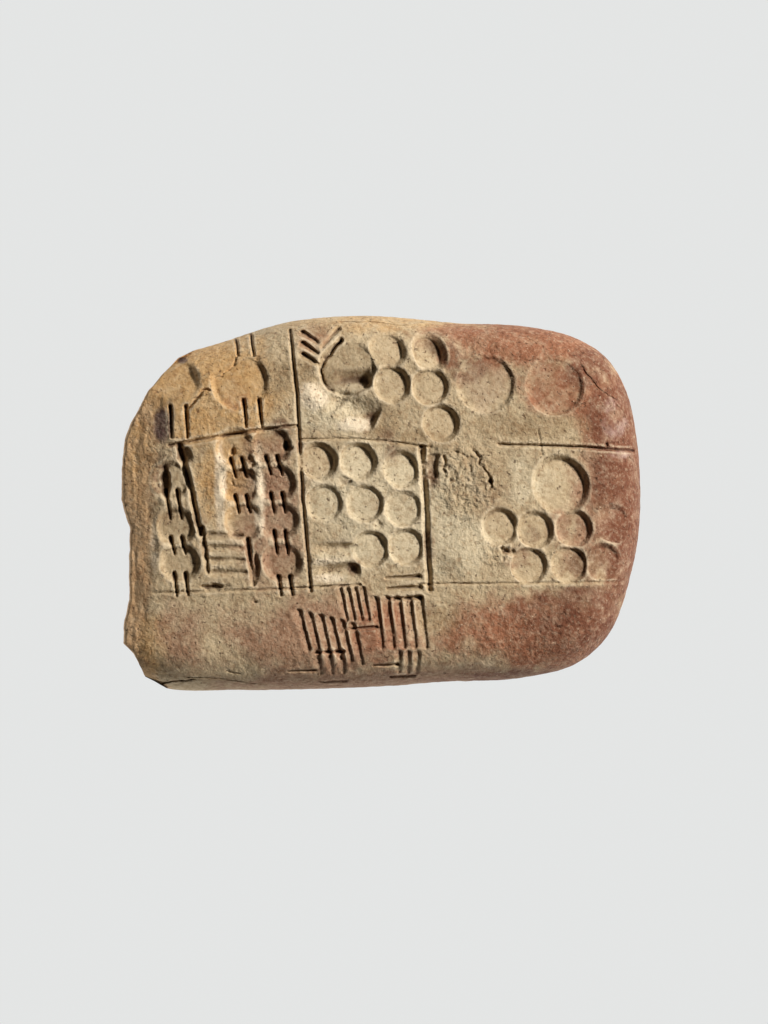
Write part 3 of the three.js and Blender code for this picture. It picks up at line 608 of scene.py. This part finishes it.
def cut_bar_pair(z, x, y, start, end, gap):
    widths = (BAR_WIDTH, BAR_TAPER * BAR_WIDTH)
    depths = (BAR_DEPTH, BAR_TAPER * BAR_DEPTH)
    for shift in (-gap / 2, gap / 2):
        path = [(start[0] + shift, start[1]), (end[0] + shift, end[1])]
        z = cut(z, x, y, path, widths, depths, BAR_LEAN, CUT_LIP)
    return z


def press_linked(z, x, y, centres):
    for cx, cy in centres:
        z = press_round(z, x, y, (cx, cy, LINKED_DEEP, LINKED_SHALLOW), THIN_STYLUS, LINKED_WALL)
    for (x0, y0), (x1, y1) in zip(centres, centres[1:]):
        z = cut_bar_pair(z, x, y, (x0, y0 - LINKED_BAR_START), (x1, y1 + LINKED_BAR_END), THIN_PAIR_GAP)
    return z


def cut_stroke_row(z, x, y, row):
    """Strokes side by side, each wide and deep at its head. The stylus leaned to the marks' deep side."""
    first, last, count, run, width, depth = row
    lean = STROKE_LEAN * (run[0] * math.sin(DEEP_SIDE) - run[1] * math.cos(DEEP_SIDE)) / math.hypot(*run)
    widths = (width, STROKE_TAPER * width)
    depths = (depth, STROKE_TAPER * depth)
    for i in range(count):
        head_x, head_y = (lerp(a, b, i / (count - 1)) for a, b in zip(first, last))
        path = [(head_x, head_y), (head_x + run[0], head_y + run[1])]
        z = cut(z, x, y, path, widths, depths, lean, STROKE_LIP)
    return z


def wander(path, seed):
    """A path broken into short, crooked legs."""
    rng = np.random.default_rng(seed)
    points = np.array(path, float)
    for level in range(3):
        sway = rng.normal(size=(len(points) - 1, 2)) * CRACK_SWAY / 2**level
        middles = (points[1:] + points[:-1]) / 2 + sway
        woven = np.empty((len(points) + len(middles), 2))
        woven[0::2], woven[1::2] = points, middles
        points = woven
    return points


def crack(z, x, y, path, width, depth, seed):
    widths = (width, CRACK_TAPER * width)
    depths = (depth, CRACK_TAPER * depth)
    return cut(z, x, y, wander(path, seed), widths, depths, lean=0)


def flake(z, x, y, hollow, seed):
    points = np.stack([x, y, np.full_like(x, seed)], 1)
    ragged = reach_in(x, y, hollow) + FLAKE_RAGGED * layered_noise(points, FLAKE_TOOTH, seed)
    return z - hollow[-1] * (1 - smooth(ragged, *DAMAGE_FADE))


def roughen(z, x, y):
    points = np.stack([x, y, np.zeros_like(x)], 1)
    bumps = ridged(points, ROUGH_GRAIN, ROUGH_SEED)
    edge = uneven(points, "rough_edge")
    for patch in ROUGH_PATCHES:
        z += patch[-1] * bumps * (1 - smooth(reach_in(x, y, patch) + edge, *DAMAGE_FADE))
    return z


def face_relief(x, y):
    """How far the face stands above or below the plain cushion."""
    plain = face_height(x, y)
    flat = np.stack([x, y, np.zeros_like(x)], 1)
    z = plain + uneven(flat, "swell") + uneven(flat, "dents")
    z += MOUND[-1] * (1 - smooth(reach_in(x, y, MOUND), *MOUND_FADE))
    z = roughen(z, x, y)
    x = x + uneven(flat, "sway_x")
    y = y + uneven(flat, "sway_y")
    for mark in THICK_MARKS:
        z = press_round(z, x, y, mark, THICK_STYLUS)
    for scoop in SCOOPS:
        z = press_scoop(z, x, y, scoop)
    for mark in THIN_MARKS:
        z = press_round(z, x, y, mark, THIN_STYLUS)
    for centres in LINKED_MARKS:
        z = press_linked(z, x, y, centres)
    for start, end, gap in BAR_PAIRS:
        z = cut_bar_pair(z, x, y, start, end, gap)
    for path, widths, depths, lean in RULINGS:
        z = cut(z, x, y, path, widths, depths, lean, CUT_LIP)
    for row in STROKE_ROWS:
        z = cut_stroke_row(z, x, y, row)
    for seed, hollow in enumerate(FLAKES):
        z = flake(z, x, y, hollow, seed)
    for seed, (path, width, depth) in enumerate(CRACKS):
        z = crack(z, x, y, path, width, depth, seed)
    return z - plain


# ------------ the broken end


def break_foot(y):
    """How far left the clay still reaches, with the worn ribs of the break."""
    column = np.stack([np.zeros_like(y), y, np.zeros_like(y)], 1)
    return np.interp(y, *zip(*BREAK_FOOT)) + uneven(column, "foot") + FOOT_SET_IN


def break_top(y):
    return np.interp(y, *zip(*BREAK_TOP))


def wear_break(points, is_face):
    """Cuts the lost end off: straight down below, and above in a worn slope up to the face."""
    x, y, z = points.T
    foot, top = break_foot(y), break_top(y)
    ribs = layered_noise(points * RIB_STRETCH, RIB_SIZE, RIB_SEED)
    slope = np.interp((x - foot) / (top - foot), *zip(*BREAK_PROFILE))
    worn = is_face & (x >= foot) & (x < top + BREAK_OVERRUN * (top - foot))
    z = np.where(worn, np.minimum(z, slope + RIB_HEIGHT * ribs * smooth(z, *RIB_RISE)), z)
    beyond = x < foot
    foot_z = BREAK_PROFILE[0][1]
    squash = (foot_z - WIDEST_Z) / (face_height(foot, y) - WIDEST_Z)
    z = np.where(beyond & is_face, WIDEST_Z + (z - WIDEST_Z) * squash, z)
    x = np.where(beyond, foot + RIB_REACH * ribs, x)
    return np.stack([x, y, z], 1)


# ------------ the fine mesh


def surface(directions):
    """The finished surface for directions of a unit sphere."""
    points, is_face = cushion_points(directions)
    x, y = points[:, 0], points[:, 1]
    relief = np.zeros(len(points))
    relief[is_face] = face_relief(x[is_face], y[is_face])
    points[:, 2] += relief * smooth(distance_inside(x, y), *RELIEF_FADE)
    outward = np.stack([x, y, (points[:, 2] - WIDEST_Z) * OUTWARD_RISE], 1)
    outward /= np.linalg.norm(outward, axis=1)[:, None] + 1e-9
    grain = uneven(points, "grain") + uneven(points, "back") * ~is_face
    off_the_rest = smooth(points[:, 2], 0, RESTING_FADE)
    shift = np.where(off_the_rest > 0, grain * off_the_rest - SKIN, 0)
    return wear_break(points + outward * shift[:, None], is_face)


def icosahedron():
    """The corners of a regular icosahedron on the unit sphere, and its triangles, wound outward."""
    golden = (1 + 5**0.5) / 2
    signs = [(a, b) for a in (-1, 1) for b in (-1, 1)]
    corners = np.array([np.roll((0, a, b * golden), turn) for turn in range(3) for a, b in signs])
    is_edge = np.isclose(np.linalg.norm(corners[:, None] - corners, axis=2), 2)
    triangles = []
    for a, b, c in combinations(range(len(corners)), 3):
        if is_edge[a, b] and is_edge[b, c] and is_edge[c, a]:
            outward = np.linalg.det(corners[[a, b, c]]) > 0
            triangles.append((a, b, c) if outward else (a, c, b))
    return corners / np.linalg.norm(corners, axis=1)[:, None], np.array(triangles)


def edges_of(triangles):
    """The mesh's edges, and for each triangle the number of its edge opposite each corner."""
    pairs = np.concatenate([triangles[:, [1, 2]], triangles[:, [2, 0]], triangles[:, [0, 1]]])
    edges, number = np.unique(np.sort(pairs, axis=1), axis=0, return_inverse=True)
    return edges, number.reshape(3, -1).T


def split(triangles, edge_numbers, middle):
    """Splits each triangle at the middles of its marked edges. middle is -1 for an edge that isn't marked."""
    mids = middle[edge_numbers]
    marked = mids >= 0
    kept = [triangles[~marked.any(1)]]
    full = marked.all(1)
    a, b, c = triangles[full].T
    ma, mb, mc = mids[full].T
    kept += [np.stack(t, 1) for t in ((a, mc, mb), (b, ma, mc), (c, mb, ma), (ma, mb, mc))]
    for k in range(3):
        order = [k, (k + 1) % 3, (k + 2) % 3]
        one = marked[:, order[0]] & ~marked[:, order[1]] & ~marked[:, order[2]]
        a, b, c = triangles[one][:, order].T
        ma = mids[one][:, k]
        kept += [np.stack((a, b, ma), 1), np.stack((a, ma, c), 1)]
        two = ~marked[:, order[0]] & marked[:, order[1]] & marked[:, order[2]]
        a, b, c = triangles[two][:, order].T
        mb, mc = mids[two][:, order[1]], mids[two][:, order[2]]
        kept += [np.stack((a, mc, mb), 1), np.stack((mc, b, c), 1), np.stack((mc, c, mb), 1)]
    return np.concatenate(kept)


def worst_that_fit(marked, error, room):
    """Only those marked edges with the greatest errors for which there is room."""
    urgency = np.where(marked, error, -1)
    return urgency > np.sort(urgency)[-max(room, 1)]


def fine_mesh():
    """Splits a sphere's triangles until the surface made from them follows the relief closely."""
    directions, triangles = icosahedron()
    points = surface(directions)
    while len(triangles) <= ENOUGH * MOST_TRIANGLES:
        edges, edge_numbers = edges_of(triangles)
        a, b = points[edges[:, 0]], points[edges[:, 1]]
        middle_directions = directions[edges[:, 0]] + directions[edges[:, 1]]
        middle_directions /= np.linalg.norm(middle_directions, axis=1)[:, None]
        middles = surface(middle_directions)
        length = np.linalg.norm(b - a, axis=1)
        error = np.linalg.norm(middles - (a + b) / 2, axis=1)
        longest = np.where(middles[:, 2] > WIDEST_Z + FACE_START, FACE_EDGE, SIDE_EDGE)
        marked = (length > longest) | ((error > MESH_ERROR) & (length > FINEST_EDGE))
        if not marked.any():
            break
        room = (MOST_TRIANGLES - len(triangles)) // 2
        if marked.sum() > room:
            marked = worst_that_fit(marked, error, room)
        middle = np.full(len(edges), -1)
        middle[marked] = len(points) + np.arange(marked.sum())
        directions = np.concatenate([directions, middle_directions[marked]])
        points = np.concatenate([points, middles[marked]])
        triangles = split(triangles, edge_numbers, middle)
    return points, triangles


# ------------ hollows and colours at each point


def blurred(field, radius):
    """A grid softened by a Gaussian, whose radius is in cells."""
    reach = int(3 * radius)
    weights = np.exp(-0.5 * (np.arange(-reach, reach + 1) / radius) ** 2)
    weights /= weights.sum()
    for axis in (0, 1):
        margins = [(reach, reach) if axis == a else (0, 0) for a in (0, 1)]
        padded = np.pad(field, margins, mode="edge")
        field = np.apply_along_axis(np.convolve, axis, padded, weights, mode="valid")
    return field


def hollowness(points):
    """The name of each measure, and how far each point lies below the face round it."""
    step = HOLLOW_GRID
    reach_x, reach_y = GRID_REACH
    along_x, along_y = np.arange(-reach_x, reach_x, step), np.arange(-reach_y, reach_y, step)
    grid_x, grid_y = np.meshgrid(along_x, along_y, indexing="ij")
    relief = face_relief(grid_x.ravel(), grid_y.ravel()).reshape(grid_x.shape)
    cell_x, cell_y = (points[:, 0] + reach_x) / step, (points[:, 1] + reach_y) / step
    i, j = cell_x.astype(int), cell_y.astype(int)
    u, v = cell_x - i, cell_y - j
    for name, radius in HOLLOW_RADII.items():
        hollow = blurred(relief, radius / step) - relief
        low = lerp(hollow[i, j], hollow[i + 1, j], u)
        high = lerp(hollow[i, j + 1], hollow[i + 1, j + 1], u)
        yield name, lerp(low, high, v)


def zone(points, patches, seed):
    """How strong a colour is at each point, from its ragged patches."""
    ragged = PATCH_RAGGED * layered_noise(points, PATCH_TOOTH, seed)
    strength = np.zeros(len(points))
    for patch in patches:
        reach = reach_in(points[:, 0], points[:, 1], patch) + ragged
        strength = np.maximum(strength, patch[-1] * (1 - smooth(reach, *COLOUR_FADE)))
    return strength


def on_floors(points):
    """1 on the smooth floors of the round marks and 0 off them."""
    linked = [centre for centres in LINKED_MARKS for centre in centres]
    share = np.zeros(len(points))
    for marks, diameter in ((THICK_MARKS, THICK_STYLUS), (THIN_MARKS + linked, THIN_STYLUS)):
        for cx, cy, *_ in marks:
            reach = np.hypot(points[:, 0] - cx, points[:, 1] - cy) / (MARK_FLOOR * diameter / 2)
            share = np.maximum(share, 1 - smooth(reach, *MARK_FLOOR_FADE))
    return share


def on_break(points):
    """1 on the foot of the break, fading to 0 past its top."""
    foot, top = break_foot(points[:, 1]), break_top(points[:, 1])
    return 1 - smooth(points[:, 0], lerp(foot, top, BROKEN_FADE), top + BROKEN_REACH)


def store(mesh, name, values):
    mesh.attributes.new(name, "FLOAT", "POINT").data.foreach_set("value", values.astype(np.float32))


def store_places(mesh, points):
    """Stores at each point all that the clay's material follows."""
    on_face = smooth(points[:, 2], WIDEST_Z, WIDEST_Z + FACE_BLEND)
    for name, hollow in hollowness(points):
        store(mesh, name, hollow * on_face)
    for number, (name, patches) in enumerate(PATCHES.items()):
        store(mesh, name, zone(points, patches, COLOUR_SEED + number))
    store(mesh, "pressed", on_floors(points) * on_face)
    store(mesh, "rough", zone(points, ROUGH_PATCHES, ROUGH_COLOUR_SEED) / ROUGHEST * on_face)
    store(mesh, "broken", on_break(points))


def make_tablet():
    points, triangles = fine_mesh()
    mesh = bpy.data.meshes.new("tablet_clay")
    mesh.from_pydata((points * MM).tolist(), [], triangles.tolist())
    mesh.polygons.foreach_set("use_smooth", np.ones(len(mesh.polygons), bool))
    mesh.update()
    store_places(mesh, points)
    tablet = bpy.data.objects.new("tablet_clay", mesh)
    bpy.context.scene.collection.objects.link(tablet)
    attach(tablet, "root")
    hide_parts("tablet")
    return tablet


# ------------ the clay's material


def colour(red, green, blue):
    """A colour written in everyday 0 to 255 values, as linear light."""
    shares = (value / 255 for value in (red, green, blue))
    return tuple(s / 12.92 if s < 0.0404 else ((s + 0.055) / 1.055) ** 2.4 for s in shares) + (1,)


BUFF = colour(188, 166, 132)
TINTS = {
    "broken": colour(198, 161, 120),
    "ochre": colour(200, 160, 108),
    "mauve": colour(160, 124, 97),
    "terracotta": colour(150, 99, 71),
    # pale clay, and a painted highlight on the scoops' banks
    "cream_and_highlight": colour(205, 188, 156),
    "khaki": colour(166, 142, 108),
    # darker clay, and painted shade beside the marks
    "umber_and_shade": colour(122, 92, 68),
    "russet": colour(114, 70, 49),
    # painted highlight on banks that face the key light
    "bank_highlight": colour(230, 212, 184),
    # a pale film, with painted glints
    "film_and_glints": colour(180, 154, 144),
    "stain": colour(92, 68, 62),
}
SPECK = colour(86, 56, 40)
PALE = colour(226, 206, 174)
DIM = colour(190, 166, 144)  # darkens what it is multiplied with, and warms it a little
# Painted shade, multiplied into the hollows where the walls of the marks lie in shadow.
PAINTED_SHADE = colour(90, 60, 38)

# Sizes of the clay's markings, and how high its bumps stand, in millimetres.
EDGE_GRAIN = 3.0  # the grain that breaks up the edges of the patches
MOTTLES = [(2.4, 0.35), (1.0, 0.45), (0.5, 0.5)]  # size of each kind and how strong it is
PALE_MOTTLE = 0.35  # how strong its pale side is, as a share of the dark one
SPECK_SIZE = 0.6
GRIT_SIZE = 0.5
BUMP_SIZE = 0.7
BUMP_HEIGHT = 0.3
STREAK_WIDTH = 0.5
STREAK_THINNING = 0.12  # the width of a streak as a share of its length
STREAK_TURN = math.radians(-48)
STREAK_HEIGHT = 0.03
FLOOR_BUMPS = 0.6  # how high the bumps are on the floors of the marks, as a share of elsewhere
SPECK_DEPTH = 0.7  # how deep the specks are sunk, against the height of the bumps
GLOSS = 0.3
NOISE_ROUGHNESS = 0.65  # how strong each finer layer of a noise is
NOISE_TURN = (0.5, 0.3, 0.7)  # keeps the grid of the noise from lining up with the face

# Ranges: the value at which a marking sets in and the one at which it is full, and its strength at each.
# Patches go by their strength, the pale edges and the painted shade by how low the clay lies in millimetres,
# the rest by a noise.
PATCH_RANGE = (0.05, 1.05)
PATCH_START = (0, 0.1)  # keeps the grain inside the patch
GRAIN_RANGE = (0.35, 0.65, -0.2, 0.2)
SPECK_RANGE = (0.62, 0.69, 0, 0.6)
GRIT_RANGE = (0.68, 0.76, 0, 0.5)
DARK_RANGE = (0.5, 0.72)
PALE_RANGE = (0.5, 0.3)
# pale raised edges: wear, and a painted highlight on the rims
WEAR_AND_HIGHLIGHT_RANGE = (-0.05, -0.22, 0, 0.5)
# painted shade in the narrow and in the wide hollows
NARROW_SHADE_RANGE = (0.1, 0.45, 0, 0.85)
WIDE_SHADE_RANGE = (0.45, 1.0, 0, 0.75)
ROUGHNESS_RANGE = (0.3, 0.7, 0.97, 0.8)  # duller between the bumps than on them


class NodeBench:
    """Adds shader nodes to a material and links them."""

    def __init__(self, material):
        self.tree = material.node_tree
        self.place = self.add("ShaderNodeTexCoord").outputs["Object"]

    def add(self, kind, inputs=None, **settings):
        node = self.tree.nodes.new(kind)
        for name, value in settings.items():
            setattr(node, name, value)
        for key, value in (inputs or {}).items():
            if isinstance(value, bpy.types.NodeSocket):
                self.tree.links.new(value, node.inputs[key])
            else:
                node.inputs[key].default_value = value
        return node

    def noise(self, size, layers=2, shift=0.0, stretch=(1, 1, 1), turn=NOISE_TURN):
        """Noise from 0 to 1, with features of a size in millimetres."""
        inputs = {"Vector": self.place, "Location": (shift, shift, shift), "Rotation": turn, "Scale": stretch}
        mapped = self.add("ShaderNodeMapping", inputs).outputs[0]
        inputs = {"Vector": mapped, "Scale": 1 / (size * MM), "Detail": layers, "Roughness": NOISE_ROUGHNESS}
        return self.add("ShaderNodeTexNoise", inputs).outputs[0]

    def attribute(self, name):
        return self.add("ShaderNodeAttribute", attribute_name=name).outputs["Fac"]

    def fit(self, value, low, high, to_low=0.0, to_high=1.0):
        """Runs smoothly from to_low to to_high while value goes from low to high."""
        inputs = {"Value": value, "From Min": low, "From Max": high, "To Min": to_low, "To Max": to_high}
        return self.add("ShaderNodeMapRange", inputs, interpolation_type="SMOOTHSTEP").outputs[0]

    def math(self, operation, a, b):
        return self.add("ShaderNodeMath", {0: a, 1: b}, operation=operation).outputs[0]

    def mix(self, share, a, b, blend="MIX"):
        return self.add("ShaderNodeMixRGB", {0: share, 1: a, 2: b}, blend_type=blend).outputs[0]

    def bump(self, height, distance, normal=None):
        """A bumped normal, whose bumps stand up to distance millimetres high."""
        inputs = {"Height": height, "Distance": distance * MM, "Strength": 1.0}
        if normal is not None:
            inputs["Normal"] = normal
        return self.add("ShaderNodeBump", inputs).outputs[0]


def lay_patches(bench):
    """Buff clay with its patches of colour, whose edges are broken up by a grain. Some patches are painted
    highlights, painted shade and painted glints.
    """
    grain = bench.fit(bench.noise(EDGE_GRAIN, layers=5), *GRAIN_RANGE)
    shade = BUFF
    for name, tint in TINTS.items():
        strength = bench.attribute(name)
        spread = bench.fit(bench.math("ADD", strength, grain), *PATCH_RANGE)
        share = bench.math("MULTIPLY", spread, bench.fit(strength, *PATCH_START))
        shade = bench.mix(share, shade, tint)
    return shade


def mottle(bench, shade):
    """Adds dark and pale mottles of several sizes."""
    for size, share in MOTTLES:
        tone = bench.noise(size, layers=3, shift=size)
        dark = bench.fit(tone, *DARK_RANGE, 0, share)
        pale = bench.fit(tone, *PALE_RANGE, 0, PALE_MOTTLE * share)
        shade = bench.mix(pale, bench.mix(dark, shade, DIM, "MULTIPLY"), PALE)
    return shade


def sprinkle(bench, shade, specks):
    """Adds dark specks and pale grits."""
    grits = bench.fit(bench.noise(GRIT_SIZE, shift=1.1), *GRIT_RANGE)
    return bench.mix(grits, bench.mix(specks, shade, SPECK), PALE)


def wear_and_shade(bench, shade):
    """Lightens the raised edges, as wear and as a painted highlight, and lays painted shade in the hollows.
    """
    crevice = bench.attribute("crevice")
    # pale raised edges: wear, and a painted highlight
    shade = bench.mix(bench.fit(crevice, *WEAR_AND_HIGHLIGHT_RANGE), shade, PALE)
    # painted shade, darkest in the narrow crevices and on the deep sides of the marks
    wide = bench.fit(bench.attribute("hollow"), *WIDE_SHADE_RANGE)
    narrow = bench.fit(crevice, *NARROW_SHADE_RANGE)
    return bench.mix(bench.math("MAXIMUM", narrow, wide), shade, PAINTED_SHADE, "MULTIPLY")


def clay_material():
    material = bpy.data.materials.new("clay")
    material.use_nodes = True
    bench = NodeBench(material)
    specks = bench.fit(bench.noise(SPECK_SIZE, layers=3, shift=0.7), *SPECK_RANGE)
    bumps = bench.noise(BUMP_SIZE, layers=4, shift=0.5)
    bumps = bench.math("SUBTRACT", bumps, bench.math("MULTIPLY", specks, SPECK_DEPTH))
    calm = bench.fit(bench.attribute("pressed"), 0, 1, 1, FLOOR_BUMPS)
    coarse = bench.math("ADD", calm, bench.attribute("rough"))
    streaks = bench.noise(STREAK_WIDTH, layers=3, stretch=(1, STREAK_THINNING, 1), turn=(0, 0, STREAK_TURN))
    streaked = bench.bump(streaks, STREAK_HEIGHT)
    shade = sprinkle(bench, mottle(bench, lay_patches(bench)), specks)
    links = {
        "Base Color": wear_and_shade(bench, shade),
        "Roughness": bench.fit(bumps, *ROUGHNESS_RANGE),
        "Normal": bench.bump(bench.math("MULTIPLY", bumps, coarse), BUMP_HEIGHT, streaked),
    }
    shader = material.node_tree.nodes["Principled BSDF"]
    shader.inputs["Specular IOR Level"].default_value = GLOSS
    for name, socket in links.items():
        bench.tree.links.new(socket, shader.inputs[name])
    return material


# ------------ studio, in metres and watts

FLOOR_REACH = 4.0
FLOOR_GLOW = (0.775, 0.785, 0.78, 1)
AMBIENT = 0.03
AMBIENT_COLOUR = (1, 0.97, 0.94, 1)
LIGHT_COLOUR = (1.0, 0.98, 0.94)
KEY_AZIMUTH = math.radians(26)
KEY_ELEVATION = math.radians(37)
KEY_DISTANCE = 0.9
KEY_SIZE = 0.1
KEY_POWER = 12.7
GLOW_SIZE = 0.5
GLOW_POWER = 0.6
GLOW_HEIGHT = 0.0001
CAMERA_DISTANCE = 2.0  # from the middle of the tablet's widest section
CAMERA_TARGET = Vector((0.00054, -0.0012, WIDEST_Z * MM))
CAMERA_SIGHT = 20  # how far the camera sees
FRAME_HEIGHT = 0.1378  # how much the picture shows from top to bottom, at that section
SENSOR = 36  # in millimetres, as the lens is


def make_floor():
    """A pale floor that glows by itself, so that it shows no shadow."""
    mesh = bpy.data.meshes.new("floor")
    corners = [(-1, -1), (1, -1), (1, 1), (-1, 1)]
    mesh.from_pydata([(x * FLOOR_REACH, y * FLOOR_REACH, 0) for x, y in corners], [], [(0, 1, 2, 3)])
    floor = bpy.data.objects.new("floor", mesh)
    bpy.context.scene.collection.objects.link(floor)
    material = bpy.data.materials.new("light_table")
    material.use_nodes = True
    shader = material.node_tree.nodes["Principled BSDF"]
    shader.inputs["Base Color"].default_value = (0, 0, 0, 1)
    shader.inputs["Specular IOR Level"].default_value = 0
    shader.inputs["Emission Color"].default_value = FLOOR_GLOW
    shader.inputs["Emission Strength"].default_value = 1
    mesh.materials.append(material)


def make_light(name, size, power, place, aim):
    """A square light at a place, which shines along aim."""
    data = bpy.data.lights.new(name, "AREA")
    data.size = size
    data.energy = power
    data.color = LIGHT_COLOUR
    light = bpy.data.objects.new(name, data)
    light.location = place
    light.rotation_euler = (-aim).to_track_quat("Z", "Y").to_euler()
    bpy.context.scene.collection.objects.link(light)
    return light


def make_lights():
    """A dim room, a small key light and the glow of the floor."""
    world = bpy.data.worlds.new("studio")
    bpy.context.scene.world = world
    world.use_nodes = True
    background = world.node_tree.nodes["Background"]
    background.inputs["Color"].default_value = AMBIENT_COLOUR
    background.inputs["Strength"].default_value = AMBIENT
    to_key = Vector((math.cos(KEY_AZIMUTH), math.sin(KEY_AZIMUTH), math.tan(KEY_ELEVATION))).normalized()
    make_light("key", KEY_SIZE, KEY_POWER, to_key * KEY_DISTANCE, -to_key)
    glow = make_light("table_glow", GLOW_SIZE, GLOW_POWER, (0, 0, GLOW_HEIGHT), Vector((0, 0, 1)))
    glow.visible_camera = False


def make_camera():
    """A camera far above the tablet, which looks straight down."""
    data = bpy.data.cameras.new("camera")
    data.sensor_width = SENSOR
    data.lens = SENSOR * CAMERA_DISTANCE / FRAME_HEIGHT
    data.clip_end = CAMERA_SIGHT
    camera = bpy.data.objects.new("camera", data)
    camera.location = CAMERA_TARGET + Vector((0, 0, CAMERA_DISTANCE))
    bpy.context.scene.collection.objects.link(camera)
    bpy.context.scene.camera = camera


make_camera()
tablet = make_tablet()
tablet.data.materials.append(clay_material())
make_floor()
make_lights()
bpy.context.scene.view_settings.view_transform = "Standard"
